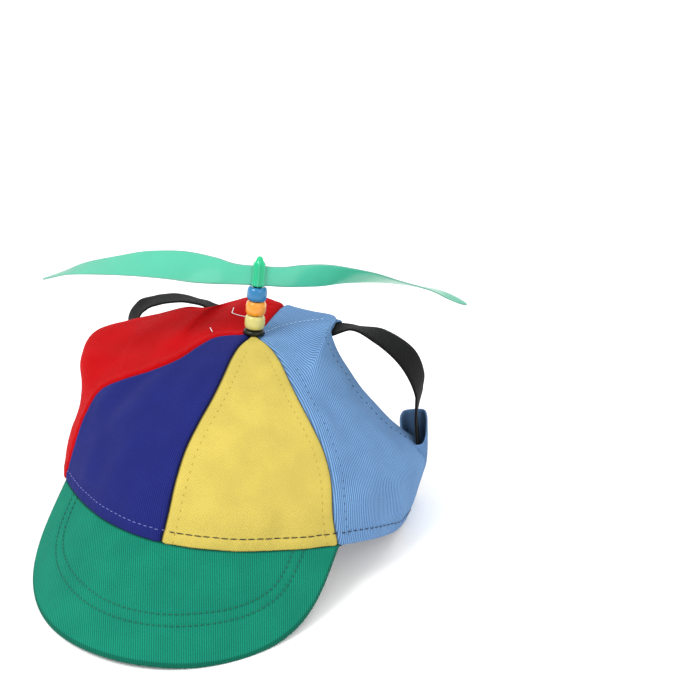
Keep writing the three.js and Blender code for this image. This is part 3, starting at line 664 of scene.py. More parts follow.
def dress_panel(points, side, sewn, hems, dents, seed):
    """A panel's grid with its seams, hems, dents and slack worked in, moved to where the cap rests.

    sewn and hems name the grid's edges, left, right, top and bottom; sewn also gives how far from a seam its
    painted shade line is lost, in millimetres."""
    normals = grid_normals(points)
    across = run_lengths(points, 1)
    down = run_lengths(points, 0)
    uv = seam_pattern(points, normals) if "top" in sewn else flat_pattern(points)
    reach = {"left": across, "right": across[:, [-1]] - across, "top": down, "bottom": down[[-1]] - down}
    along = {"left": down, "right": down, "top": across, "bottom": across}
    height = slack(uv, seed)
    share_u = across / np.maximum(across[:, [-1]], 1e-9)
    share_v = down / np.maximum(down[[-1]], 1e-9)
    for dent in dents:
        x = (share_u - dent.u) * across[:, [-1]] / MM
        y = (share_v - dent.v) * down[[-1]] / MM
        turn = math.radians(dent.turn)
        lengthwise = x * math.cos(turn) + y * math.sin(turn)
        sideways = y * math.cos(turn) - x * math.sin(turn)
        fall = np.exp(-((lengthwise / dent.along) ** 2) - (sideways / dent.across) ** 2)
        height = height + dent.depth * MM * fall
    calm = np.ones_like(across)
    for edge in sewn:
        calm = calm * smooth_step(reach[edge], 0, SEAM_CALM * MM)
    for edge in hems:
        calm = calm * (HEM_SLACK + (1 - HEM_SLACK) * smooth_step(reach[edge], 0, HEM_CALM * MM))
    height = height * calm
    for edge in sewn:
        height = height + sewn_relief(reach[edge], along[edge])
    for edge in hems:
        ear = edge == "right"
        depth, strength = (EAR_HEM_DEPTH, EAR_HEM_STRENGTH) if ear else (HEM_DEPTH, HEM_STRENGTH)
        height = height + hem_relief(reach[edge], along[edge], depth) * strength
    shaped = (points + normals * height[..., None]) * (side, 1, 1)
    seam = np.min([reach[edge] / MM + lost for edge, lost in sewn.items()], axis=0)
    normals = normals * (side, 1, 1)
    return Panel(to_row(shaped), turn_to_row(normals), uv, seam, sewn)


def front_panel(name):
    """One of the two front panels."""
    first, last = FRONT_SEAMS[name]
    wide, tall = FRONT_GRID
    u = edge_steps(wide, True, True)[None, :]
    top = hole_down(SEAMS[first] + (SEAMS[last] - SEAMS[first]) * u)
    down = top + (1 - top) * edge_steps(tall, False, True)[:, None]
    start, end = seam_across(first, down), seam_across(last, down)
    points = front_point(start + (end - start) * u, down)
    return dress_panel(points, 1, SEWN_EDGES[name], ("bottom",), DENTS[name], SLACK_SEEDS[name])


def side_panel(name):
    """One of the two side panels, from the front seam to the ear edge."""
    side = SIDES[name]
    wide, tall = SIDE_GRID
    points = side_point(side, edge_steps(wide, True, True)[None, :], edge_steps(tall, True, True)[:, None])
    points[0, 0] = points[0, 1] + (points[0, 0] - points[0, 1]) * 0.999
    hems = ("right", "bottom")
    return dress_panel(points, side.sign, SEWN_EDGES[name], hems, DENTS[name], SLACK_SEEDS[name])


# Meshes

def volume_of(points, faces):
    """Six times the volume inside the faces, negative where they point inwards."""
    volume = 0.0
    for face in faces:
        corners = points[face]
        for k in range(1, len(face) - 1):
            volume += float(np.dot(corners[0], np.cross(corners[k], corners[k + 1])))
    return volume


class Mesher:
    """Collects points, faces, UVs and seam distances for one mesh."""

    def __init__(self):
        self.points = []
        self.faces = []
        self.uv = []
        self.seam = []
        self.count = 0

    def add(self, points, uv, seam=NO_SEAM):
        """Adds points and returns their numbers, in the shape of the grid."""
        points = np.asarray(points, float)
        shape = points.shape[:-1]
        size = int(np.prod(shape))
        self.points.append(points.reshape(-1, 3))
        self.uv.append(np.broadcast_to(uv, (*shape, 2)).reshape(-1, 2))
        self.seam.append(np.broadcast_to(seam, shape).reshape(-1))
        numbers = np.arange(self.count, self.count + size).reshape(shape)
        self.count += size
        return numbers

    def quads(self, numbers, flip=False, wrap=False):
        """Faces over a grid of numbers; wrap joins its last column to its first."""
        if wrap:
            numbers = np.concatenate([numbers, numbers[:, :1]], axis=1)
        a, b, c, d = numbers[:-1, :-1], numbers[:-1, 1:], numbers[1:, 1:], numbers[1:, :-1]
        order = (a, d, c, b) if flip else (a, b, c, d)
        self.faces.extend(np.stack([n.ravel() for n in order], -1).tolist())

    def fan(self, ring, flip=False):
        """One face over a ring of numbers."""
        ring = [int(n) for n in ring]
        self.faces.append(ring[::-1] if flip else ring)

    def object(self, name, material):
        """The mesh as an object of the scene, with its faces pointing outwards."""
        points = np.concatenate(self.points)
        outward = volume_of(points, self.faces) > 0
        faces = self.faces if outward else [face[::-1] for face in self.faces]
        mesh = bpy.data.meshes.new(name)
        mesh.from_pydata(points.tolist(), [], faces)
        loops = np.zeros(len(mesh.loops), int)
        mesh.loops.foreach_get("vertex_index", loops)
        layer = mesh.uv_layers.new(name="cloth")
        layer.data.foreach_set("uv", np.concatenate(self.uv)[loops].ravel())
        seam = mesh.attributes.new("seam_mm", "FLOAT", "POINT")
        seam.data.foreach_set("value", np.concatenate(self.seam))
        mesh.shade_smooth()
        mesh.validate()
        mesh.update()
        return place(name, mesh, material)


def join_meshers(*parts):
    """One collection from several, each turned to point outwards."""
    whole = Mesher()
    for part in parts:
        points = np.concatenate(part.points)
        outward = volume_of(points - points.mean(0), part.faces) > 0
        numbers = whole.add(points, np.concatenate(part.uv), np.concatenate(part.seam))
        for face in part.faces:
            whole.faces.append([int(numbers[n]) for n in (face if outward else face[::-1])])
    return whole


def place(name, mesh, material):
    """Puts a mesh into the scene under a name, with one material."""
    made = bpy.data.objects.new(name, mesh)
    mesh.name = name
    mesh.materials.clear()
    mesh.materials.append(material)
    bpy.context.scene.collection.objects.link(made)
    return made


def perimeter(numbers):
    """The numbers round a grid's edge, once round."""
    return np.concatenate([numbers[0, :], numbers[1:, -1], numbers[-1, -2::-1], numbers[-2:0:-1, 0]])


def add_cloth(mesher, panel, thickness):
    """Adds a panel as a wall with rounded hems."""
    outer = panel.points
    inner = outer - panel.normals * thickness
    inner[..., 2] = np.maximum(inner[..., 2], 0.05 * MM)
    first = mesher.add(outer, panel.uv, panel.seam)
    last = mesher.add(inner, panel.uv, panel.seam)
    mesher.quads(first)
    mesher.quads(last, flip=True)
    bulge, roll = np.zeros_like(outer), np.zeros_like(panel.uv)
    for edge, line, beside in (
        ("left", np.s_[:, 0], np.s_[:, 1]),
        ("right", np.s_[:, -1], np.s_[:, -2]),
        ("top", np.s_[0, :], np.s_[1, :]),
        ("bottom", np.s_[-1, :], np.s_[-2, :]),
    ):
        if edge not in panel.sewn:
            bulge[line] += unit(outer[line] - outer[beside]) * thickness / 2
            roll[line] += unit(panel.uv[line] - panel.uv[beside]) * thickness
    rings = [perimeter(first)]
    start, end, out = (perimeter(grid) for grid in (outer, inner, bulge))
    for turn in np.radians((45, 90, 135)):
        share = (1 - math.cos(turn)) / 2
        ring = start * (1 - share) + end * share + out * math.sin(turn)
        ring[:, 2] = np.maximum(ring[:, 2], 0)
        rings.append(mesher.add(ring, perimeter(panel.uv + roll * turn / 2), perimeter(panel.seam)))
    rings.append(perimeter(last))
    mesher.quads(np.array(rings), flip=True, wrap=True)


# The strap's run, in the level cap's frame: centres and width directions

def surface_frame(side, along, at):
    """A side panel's point, heading to the rear edge and outward normal, as if on the +X side."""
    step = 1e-3
    at_low, at_high = max(at - step, 0), min(at + step, 1)
    heading = unit(side_point(side, along + step, at) - side_point(side, along - step, at))
    falling = unit(side_point(side, along, at_high) - side_point(side, along, at_low))
    point = side_point(side, along, at)
    normal = unit(np.cross(heading, falling))
    if np.dot(normal, point - HEAD_CENTRE) < 0:
        normal = -normal
    return point, heading, normal


def tunnel_point(side, at):
    """Where the strap lies inside a hem, and which way its width runs."""
    reach = np.linalg.norm(side_point(side, 0, at) - side_point(side, 1, at))
    point, heading, normal = surface_frame(side, 1 - TUNNEL_INSET * MM / reach, at)
    return point - normal * TUNNEL_DEPTH * MM, heading


def width_direction(turn, dip):
    """The strap's width direction from its turn inward from +Y and its dip at the rear."""
    t, d = math.radians(turn), math.radians(dip)
    return np.array([-math.sin(t) * math.cos(d), math.cos(t) * math.cos(d), -math.sin(d)])


StrapHalf = namedtuple("StrapHalf", "casing sleeve run")


def strap_half(side):
    """One half of the strap, as if on the +X side: casing, ear arc, sleeve and chin run."""
    s = sizes()
    casing = [tunnel_point(side, at) for at in side.casing_at]
    sleeve = [tunnel_point(side, at) for at in SLEEVE_AT]
    sleeve.insert(0, (np.array(SLEEVE_MOUTH) * MM, sleeve[0][1]))
    ear = [(np.array([arc.x, arc.y, arc.z]) * MM, width_direction(arc.turn, arc.dip)) for arc in side.arc]
    flat = width_direction(0, -math.degrees(s.rest_lean))
    lying = s.strap_thickness / 2 + s.stack_gap
    chin = []
    for row in CHIN_RUN:
        table = (row.y * MM * math.sin(s.rest_lean) - REST_SHIFT[2] * MM) / math.cos(s.rest_lean)
        chin.append((np.array([row.x * MM, row.y * MM, table + lying + row.up * MM]), flat))
    return StrapHalf(casing, sleeve, casing + ear + sleeve + chin)


def band_frames(run, t, closed=False):
    """Centres, width directions and face directions of a band along its run, at places t."""
    centres = np.array([centre for centre, _ in run])
    widths = np.array([width for _, width in run])
    step = 1e-4
    low, high = t - step, t + step
    if closed:
        low, high = low % 1, high % 1
    else:
        low, high = np.maximum(low, 0), np.minimum(high, 1)
    centre = spline(centres, t, closed)
    tangent = unit(spline(centres, high, closed) - spline(centres, low, closed))
    side = spline(widths, t, closed)
    side = unit(side - tangent * np.sum(side * tangent, -1, keepdims=True))
    return centre, side, unit(np.cross(tangent, side))


def section_ring(half_width, half_depth, power, count):
    """A rounded flat section: its two coordinates round the ring."""
    turn = np.linspace(0, 2 * math.pi, count, endpoint=False)
    c, s = np.cos(turn), np.sin(turn)
    wide = np.sign(c) * np.abs(c) ** (2 / power) * half_width
    deep = np.sign(s) * np.abs(s) ** (2 / power) * half_depth
    return wide, deep


def add_tunnel(mesher, run, side, flare, slant):
    """Adds a cloth tube round the strap: its start may be flared and cut off on a slant."""
    s = sizes()
    half_width = s.strap_width / 2 + TUNNEL_WALL * MM
    half_depth = s.strap_thickness / 2 + TUNNEL_WALL * MM
    wide, deep = section_ring(half_width, half_depth, TUNNEL_SQUARENESS, TUNNEL_SIDES)
    around = run_lengths(np.stack([wide, deep], -1), 0) * FINE_WEAVE
    centres = spline(np.array([centre for centre, _ in run]), np.linspace(0, 1, 200))
    total = run_lengths(centres, 0)[-1]
    late = np.clip(s.strap_width / 2 - wide, 0, None) * math.tan(slant) / total
    t = late[None, :] + (1 - late[None, :]) * np.linspace(0, 1, TUNNEL_STEPS)[:, None]
    centre, across, face = band_frames(run, t)
    grids = []
    for inset in (0, TUNNEL_CLOTH * MM):
        wide, deep = section_ring(half_width - inset, 1, TUNNEL_SQUARENESS, TUNNEL_SIDES)
        opened = np.where(deep < 0, flare, flare / 2) * MM
        depth = half_depth - inset + opened[None, :] * (1 - t)
        grid = centre + across * wide[None, :, None] + face * (deep[None, :] * depth)[..., None]
        grids.append(to_row(grid * (side, 1, 1)))
    uv = np.stack(np.broadcast_arrays(around[None, :], t * total), -1)
    outer, inner = mesher.add(grids[0], uv), mesher.add(grids[1], uv)
    flip = side < 0
    mesher.quads(outer, flip, wrap=True)
    mesher.quads(inner, not flip, wrap=True)
    for row, turned in ((0, True), (-1, False)):
        lip = (grids[0][row] + grids[1][row]) / 2
        lip = lip + unit(grids[0][row] - grids[0][1 if row == 0 else -2]) * TUNNEL_LIP * MM
        middle = mesher.add(lip, uv[row])
        mesher.quads(np.array([outer[row], middle, inner[row]]), flip != turned, wrap=True)


# Node helpers

def feed(tree, socket, value):
    """Links a socket to an input, or sets the input's value."""
    if isinstance(value, bpy.types.NodeSocket):
        tree.links.new(value, socket)
    else:
        socket.default_value = value


def node(tree, kind, **settings):
    """Adds a node, setting its properties, and its inputs by name where the setting is a dict."""
    made = tree.nodes.new(kind)
    inputs = settings.pop("inputs", {})
    for name, value in settings.items():
        setattr(made, name, value)
    for name, value in inputs.items():
        feed(tree, made.inputs[name], value)
    return made


def math_node(tree, operation, *values, clamp=False):
    """A math node over sockets or numbers; returns its output."""
    made = node(tree, "ShaderNodeMath", operation=operation, use_clamp=clamp)
    for socket, value in zip(made.inputs, values):
        feed(tree, socket, value)
    return made.outputs[0]


def mix_colour(tree, factor, first, second, blend="MIX"):
    """A colour mix over sockets or colours; returns its output."""
    made = node(tree, "ShaderNodeMix", data_type="RGBA", blend_type=blend)
    for socket, value in ((made.inputs[0], factor), (made.inputs[6], first), (made.inputs[7], second)):
        feed(tree, socket, value)
    return made.outputs[2]


def noise(tree, where, scale, detail=2.0):
    """Noise at a place; returns its output."""
    made = node(tree, "ShaderNodeTexNoise", inputs={"Vector": where, "Scale": scale, "Detail": detail})
    return made.outputs["Fac"]


def object_place(tree):
    """The place in the object's own coordinates."""
    return node(tree, "ShaderNodeTexCoord").outputs["Object"]


def cloth_place(tree):
    """The place on the piece's own UV map."""
    return node(tree, "ShaderNodeUVMap", uv_map="cloth").outputs["UV"]


def seam_value(tree):
    """The piece's seam attribute."""
    return node(tree, "ShaderNodeAttribute", attribute_name="seam_mm").outputs["Fac"]


def set_values(shader, **values):
    """Sets constants on a shader's own sockets, named with underscores for spaces."""
    for name, value in values.items():
        shader.inputs[name.replace("_", " ")].default_value = value


def raise_bump(tree, shader, height, strength, distance):
    """Gives a shader a bump from a height."""
    made = node(tree, "ShaderNodeBump", inputs={"Strength": strength, "Distance": distance, "Height": height})
    tree.links.new(made.outputs["Normal"], shader.inputs["Normal"])


def remap(tree, value, low, high, to_low, to_high):
    """A smooth map of a value from one range to another; returns its output."""
    made = node(
        tree,
        "ShaderNodeMapRange",
        interpolation_type="SMOOTHSTEP",
        inputs={"Value": value, "From Min": low, "From Max": high, "To Min": to_low, "To Max": to_high},
    )
    return made.outputs["Result"]


def linear(srgb, scale=1.0):
    """A shader colour from an sRGB one, lightened or darkened."""
    values = [c / 12.92 if c <= 0.04045 else ((c + 0.055) / 1.055) ** 2.4 for c in srgb]
    return (*[min(max(v * scale, 0), 1) for v in values], 1.0)


def new_material(name):
    """A node material with its shader; returns the material, its tree and the shader."""
    material = bpy.data.materials.new(name)
    material.use_nodes = True
    tree = material.node_tree
    return material, tree, tree.nodes["Principled BSDF"]


# Shader groups

def twill_group():
    """Diagonal twill ribs, broken into yarn floats, with uneven dye and fibre flecks."""
    found = bpy.data.node_groups.get("twill_weave")
    if found:
        return found
    tree = bpy.data.node_groups.new("twill_weave", "ShaderNodeTree")
    face = tree.interface
    face.new_socket("Vector", in_out="INPUT", socket_type="NodeSocketVector")
    for name, default in (("Pitch", 0.0009), ("Slant", 0.9), ("Wobble", 0.25)):
        face.new_socket(name, in_out="INPUT", socket_type="NodeSocketFloat").default_value = default
    for name in ("Rib", "Fleck", "Mottle", "Height"):
        face.new_socket(name, in_out="OUTPUT", socket_type="NodeSocketFloat")
    into = tree.nodes.new("NodeGroupInput").outputs
    out = tree.nodes.new("NodeGroupOutput").inputs
    parts = node(tree, "ShaderNodeSeparateXYZ", inputs={"Vector": into["Vector"]}).outputs
    cosine = math_node(tree, "COSINE", into["Slant"])
    sine = math_node(tree, "SINE", into["Slant"])
    waver = noise(tree, into["Vector"], 420.0)
    drift = math_node(tree, "MULTIPLY", math_node(tree, "SUBTRACT", waver, 0.5), into["Wobble"])
    run_x = math_node(tree, "MULTIPLY", parts["X"], cosine)
    run = math_node(tree, "MULTIPLY_ADD", parts["Y"], sine, run_x)
    cross_x = math_node(tree, "MULTIPLY", parts["X"], sine)
    cross = math_node(tree, "SUBTRACT", math_node(tree, "MULTIPLY", parts["Y"], cosine), cross_x)
    ribs = math_node(tree, "ADD", math_node(tree, "DIVIDE", run, into["Pitch"]), drift)
    wave = math_node(tree, "SINE", math_node(tree, "MULTIPLY", ribs, 2 * math.pi))
    rib = math_node(tree, "MULTIPLY_ADD", wave, 0.5, 0.5)
    floats = math_node(tree, "DIVIDE", cross, into["Pitch"])
    shifted = math_node(tree, "MULTIPLY_ADD", math_node(tree, "FLOOR", ribs), 0.37, floats)
    float_wave = math_node(tree, "SINE", math_node(tree, "MULTIPLY", shifted, 2 * math.pi * 0.55))
    yarn = math_node(tree, "MULTIPLY_ADD", float_wave, 0.14, 0.86)
    tree.links.new(rib, out["Rib"])
    tree.links.new(math_node(tree, "MULTIPLY", rib, yarn), out["Height"])
    tree.links.new(noise(tree, into["Vector"], 1500.0, 3.0), out["Fleck"])
    tree.links.new(noise(tree, into["Vector"], 70.0, 4.0), out["Mottle"])
    return tree


def scuff_group():
    """Fine moulding unevenness and faint scuffs for smooth plastic and metal."""
    found = bpy.data.node_groups.get("fine_scuffs")
    if found:
        return found
    tree = bpy.data.node_groups.new("fine_scuffs", "ShaderNodeTree")
    tree.interface.new_socket("Vector", in_out="INPUT", socket_type="NodeSocketVector")
    tree.interface.new_socket("Scale", in_out="INPUT", socket_type="NodeSocketFloat").default_value = 200.0
    for name in ("Cloud", "Scuff"):
        tree.interface.new_socket(name, in_out="OUTPUT", socket_type="NodeSocketFloat")
    into = tree.nodes.new("NodeGroupInput").outputs
    out = tree.nodes.new("NodeGroupOutput").inputs
    fine = math_node(tree, "MULTIPLY", into["Scale"], 6.0)
    tree.links.new(noise(tree, into["Vector"], into["Scale"], 3.0), out["Cloud"])
    tree.links.new(noise(tree, into["Vector"], fine, 5.0), out["Scuff"])
    return tree


def scuffs(tree, scale):
    """The scuff group's outputs at a scale."""
    made = node(tree, "ShaderNodeGroup", node_tree=scuff_group())
    tree.links.new(object_place(tree), made.inputs["Vector"])
    made.inputs["Scale"].default_value = scale
    return made.outputs


# Materials

def twill_material(name):
    """Cotton twill of one of the cap's colours, with painted shade along the seams."""
    material, tree, shader = new_material("twill_" + name)
    srgb = getattr(colours(), name)
    twill = TWILLS[name]
    weave = node(tree, "ShaderNodeGroup", node_tree=twill_group())
    tree.links.new(cloth_place(tree), weave.inputs["Vector"])
    weave.inputs["Pitch"].default_value = sizes().twill_pitch * twill["pitch"]
    weave.inputs["Slant"].default_value = math.radians(twill["slant"])
    contrast = twill["contrast"]
    rib = math_node(tree, "MULTIPLY_ADD", weave.outputs["Rib"], contrast, 0.5 - contrast / 2)
    fleck = math_node(tree, "SUBTRACT", weave.outputs["Fleck"], 0.5)
    speckle = math_node(tree, "MULTIPLY_ADD", fleck, 0.9, rib, clamp=True)
    woven = mix_colour(tree, speckle, linear(srgb, twill["shade"]), linear(srgb, twill["light"]))
    dye = remap(tree, weave.outputs["Mottle"], 0.3, 0.7, 0.0, 1.0)
    dyed = mix_colour(tree, dye, (0.93, 0.93, 0.94, 1), (1.04, 1.04, 1.03, 1))
    cloth = mix_colour(tree, 1.0, woven, dyed, "MULTIPLY")
    # Painted shade: within about a millimetre of a seam the cloth darkens towards 0.22 of its colour,
    # standing in for the shadow in the seam's groove; the brim's seam value also paints shade under the
    # crown's hem and along the brim's edge.
    depth = remap(tree, seam_value(tree), 0.1, 1.1, 0.0, 1.0)
    tree.links.new(mix_colour(tree, depth, linear(srgb, 0.22), cloth), shader.inputs["Base Color"])
    tree.links.new(remap(tree, weave.outputs["Fleck"], 0.2, 0.8, 0.82, 0.97), shader.inputs["Roughness"])
    set_values(shader, Specular_IOR_Level=0.08, Sheen_Weight=0.02, Sheen_Roughness=0.5)
    height = math_node(tree, "MULTIPLY_ADD", weave.outputs["Fleck"], 0.5, weave.outputs["Height"])
    raise_bump(tree, shader, height, 0.55, 0.00022)
    return material


def thread_material(name):
    """Sewing thread of one colour, with a twisted look."""
    found = bpy.data.materials.get("thread_" + name)
    if found:
        return found
    material, tree, shader = new_material("thread_" + name)
    srgb = getattr(colours(), "thread_" + name)
    fibre = noise(tree, object_place(tree), 2600.0)
    tree.links.new(mix_colour(tree, fibre, linear(srgb, 0.7), linear(srgb, 1.3)), shader.inputs["Base Color"])
    tree.links.new(remap(tree, fibre, 0.2, 0.8, 0.55, 0.8), shader.inputs["Roughness"])
    raise_bump(tree, shader, fibre, 0.4, 0.0001)
    return material


def elastic_material():
    """Black woven elastic: fine ribs along it and across it."""
    material, tree, shader = new_material("elastic_black")
    srgb = colours().elastic
    uv = cloth_place(tree)
    parts = node(tree, "ShaderNodeSeparateXYZ", inputs={"Vector": uv}).outputs
    across = math_node(tree, "SINE", math_node(tree, "MULTIPLY", parts["Y"], 2 * math.pi / ELASTIC_RIB))
    lengthwise = math_node(tree, "SINE", math_node(tree, "MULTIPLY", parts["X"], 2 * math.pi / ELASTIC_WARP))
    rib = math_node(tree, "MULTIPLY_ADD", across, 0.5, 0.5)
    warp = math_node(tree, "MULTIPLY_ADD", lengthwise, 0.5, 0.5)
    woven = math_node(tree, "MULTIPLY_ADD", rib, 0.6, math_node(tree, "MULTIPLY", warp, 0.4))
    fibre = noise(tree, uv, 1400.0, 3.0)
    lit = math_node(tree, "MULTIPLY", woven, fibre)
    tree.links.new(mix_colour(tree, lit, linear(srgb, 0.5), linear(srgb, 1.8)), shader.inputs["Base Color"])
    tree.links.new(remap(tree, fibre, 0.2, 0.8, 0.7, 0.92), shader.inputs["Roughness"])
    set_values(shader, Specular_IOR_Level=0.15, Sheen_Weight=0.02)
    raise_bump(tree, shader, woven, 0.7, 0.00025)
    return material


def bead_material(name):
    """Glossy moulded plastic of one bead, slightly clouded."""
    material, tree, shader = new_material("bead_" + name)
    srgb = getattr(colours(), "bead_" + name)
    scuff = scuffs(tree, 220.0)
    tint = mix_colour(tree, scuff["Cloud"], linear(srgb, 0.86), linear(srgb, 1.1))
    tree.links.new(tint, shader.inputs["Base Color"])
    rough = remap(tree, scuff["Scuff"], 0.3, 0.75, BEAD_ROUGHNESS * 0.8, BEAD_ROUGHNESS * 1.7)
    tree.links.new(rough, shader.inputs["Roughness"])
    set_values(shader, Subsurface_Weight=0.25, Subsurface_Radius=(0.003, 0.003, 0.003))
    set_values(shader, Coat_Weight=0.3, Coat_Roughness=0.08)
    raise_bump(tree, shader, scuff["Cloud"], 0.06, 0.0002)
    return material


def blade_material():
    """Translucent mint plastic of the propeller, greyer along thin edges and deeper in the hub's valleys."""
    material, tree, shader = new_material("propeller_green")
    srgb = colours().mint
    scuff = scuffs(tree, 60.0)
    tint = mix_colour(tree, scuff["Cloud"], linear(srgb, 0.93), linear(srgb, 1.07))
    edge = seam_value(tree)
    blade = math_node(tree, "GREATER_THAN", edge, HUB_END)
    thin = math_node(tree, "MULTIPLY", remap(tree, edge, 0.1, 0.7, 0.8, 0.0), blade)
    along = node(tree, "ShaderNodeSeparateXYZ", inputs={"Vector": cloth_place(tree)}).outputs["X"]
    radius = sizes().propeller_radius
    tip = remap(tree, along, 0.5 * radius, radius, 0.0, 0.12)
    greyer = math_node(tree, "MAXIMUM", thin, tip)
    valley = remap(tree, edge, HUB_VALLEY, HUB_VALLEY + 0.8, 1.0, 0.45)
    deep = math_node(tree, "MULTIPLY", valley, math_node(tree, "LESS_THAN", edge, HUB_END))
    moulded = mix_colour(tree, deep, tint, linear(colours().mint_hub))
    final = mix_colour(tree, greyer, moulded, linear(colours().mint_edge))
    tree.links.new(final, shader.inputs["Base Color"])
    tree.links.new(remap(tree, scuff["Scuff"], 0.3, 0.75, 0.16, 0.24), shader.inputs["Roughness"])
    set_values(shader, Coat_Weight=0.5, Coat_Roughness=0.08)
    through = node(tree, "ShaderNodeBsdfTranslucent", inputs={"Color": final})
    both = node(tree, "ShaderNodeMixShader", inputs={"Fac": 0.4})
    tree.links.new(shader.outputs["BSDF"], both.inputs[1])
    tree.links.new(through.outputs["BSDF"], both.inputs[2])
    tree.links.new(both.outputs["Shader"], tree.nodes["Material Output"].inputs["Surface"])
    return material


def metal_material():
    """Dark plated metal of the washer and the spindle."""
    found = bpy.data.materials.get("gunmetal_plating")
    if found:
        return found
    material, tree, shader = new_material("gunmetal_plating")
    srgb = colours().gunmetal
    scuff = scuffs(tree, 500.0)
    tint = mix_colour(tree, scuff["Scuff"], linear(srgb, 0.4), linear(srgb, 1.6))
    tree.links.new(tint, shader.inputs["Base Color"])
    tree.links.new(remap(tree, scuff["Cloud"], 0.3, 0.7, 0.2, 0.42), shader.inputs["Roughness"])
    set_values(shader, Metallic=0.55)
    raise_bump(tree, shader, scuff["Scuff"], 0.2, 0.0001)
    return material


def finish_piece(piece, body, slot, *nodes):
    """Ties a piece to its body and hides the nodes that it stands for; its finish, slot, is not used."""
    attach(piece, body)
    if nodes:
        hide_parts(*nodes)
    return piece


# Pieces of the cap

class CAP_OT_front_panels(bpy.types.Operator):
    """Sews the two front panels"""

    bl_idname = "cap.front_panels"
    bl_label = "Front panels"

    def execute(self, context):
        for name in ("blue", "yellow"):
            mesher = Mesher()
            add_cloth(mesher, front_panel(name), sizes().cloth)
            piece = mesher.object(f"front_panel_{name}_cloth", twill_material(name))
            finish_piece(piece, CAP, "twill_" + name, "front_panel_" + name)
        return {"FINISHED"}


class CAP_OT_side_panels(bpy.types.Operator):
    """Sews the two side panels with their casing halves and strap sleeves"""

    bl_idname = "cap.side_panels"
    bl_label = "Side panels"

    def execute(self, context):
        for name, side in SIDES.items():
            mesher = Mesher()
            add_cloth(mesher, side_panel(name), sizes().cloth)
            half = strap_half(side)
            add_tunnel(mesher, half.casing, side.sign, 0.0, 0.0)
            add_tunnel(mesher, half.sleeve, side.sign, SLEEVE_FLARE, SLEEVE_SLANT)
            piece = mesher.object(f"side_panel_{name}_cloth", twill_material(name))
            finish_piece(piece, CAP, "twill_" + name, "side_panel_" + name)
        return {"FINISHED"}


def brim_rim(x):
    """Where the rim runs over the brim."""
    s = sizes()
    return -s.front_depth * (1 - (x / s.rim_half_width) ** 2)


def brim_point(x, run):
    """The brim's upper face at a run out from the rim."""
    s = sizes()
    free = np.maximum(run, 0)
    y = brim_rim(x) - run * math.cos(s.brim_slope)
    z = -s.stack_gap - free * math.sin(s.brim_slope)
    return np.stack([x + s.brim_sway * free / s.brim_length, y, z], -1)


def brim_normal(x):
    """The upper face's normal."""
    s = sizes()
    along = np.stack([1 + 0 * x, 2 * s.front_depth * x / s.rim_half_width**2, 0 * x], -1)
    return unit(np.cross(along, [0, math.cos(s.brim_slope), math.sin(s.brim_slope)]))


def brim_edge(share):
    """The brim's outer edge from its right end to its left one: x and the run out from the rim."""
    s = sizes()
    turn = BRIM_END + (math.pi - 2 * BRIM_END) * share
    wide = np.abs(np.cos(turn)) ** BRIM_SQUARENESS
    size = (wide + np.sin(turn) ** BRIM_SQUARENESS) ** (-1 / BRIM_SQUARENESS)
    return -s.brim_half_width * size * np.cos(turn), s.brim_length * size * np.sin(turn)


def brim_bend():
    """A table of x against the distance round the brim's bend, for laying it flat."""
    s = sizes()
    x = np.linspace(-s.brim_half_width, s.brim_half_width, 401)
    return x, run_lengths(np.stack([x, brim_rim(x) * math.sin(s.brim_slope)], -1), 0)


def brim_flat(x, run):
    """Places on the brim laid flat."""
    places, bend = brim_bend()
    out = run - brim_rim(x) * math.cos(sizes().brim_slope)
    return np.stack(np.broadcast_arrays(np.interp(x, places, bend), out), -1)


def flat_distance(points, line):
    """Distance of flat points from a line of them."""
    start, run = line[:-1], np.diff(line, axis=0)
    spots = points[..., None, :]
    t = np.clip(np.sum((spots - start) * run, -1) / np.maximum(np.sum(run * run, -1), 1e-18), 0, 1)
    return np.min(np.linalg.norm(spots - start - run * t[..., None], axis=-1), axis=-1)


def brim_outline():
    """The brim's edge laid flat, with its sides carried in under the crown."""
    x, reach = brim_edge(np.linspace(0, 1, 241))
    tuck = [-sizes().brim_tuck]
    return brim_flat(np.concatenate([x[:1], x, x[-1:]]), np.concatenate([tuck, reach, tuck]))


def brim_row(inset):
    """A stitched row on the brim laid flat, at an inset from the edge that lessens towards the sides."""
    outline = brim_outline()
    beside = np.abs(np.linspace(-1, 1, len(outline)))[:, None]
    depth = inset * (1 - BRIM_ROW_TAPER * smooth_step(beside, 0.3, 0.75))
    ahead = unit(np.gradient(outline, axis=0))
    line = outline + np.stack([ahead[:, 1], -ahead[:, 0]], -1) * depth
    return line[flat_distance(line, outline) > depth[:, 0] * 0.98]


def brim_row_line(inset):
    """Points and normals of a stitched row on the brim where the cap rests."""
    line = brim_row(inset)
    places, bend = brim_bend()
    x = np.interp(line[:, 0], bend, places)
    run = line[:, 1] + brim_rim(x) * math.cos(sizes().brim_slope)
    shown = run > 0.8 * MM
    return to_row(brim_point(x, run)[shown]), turn_to_row(brim_normal(x)[shown])


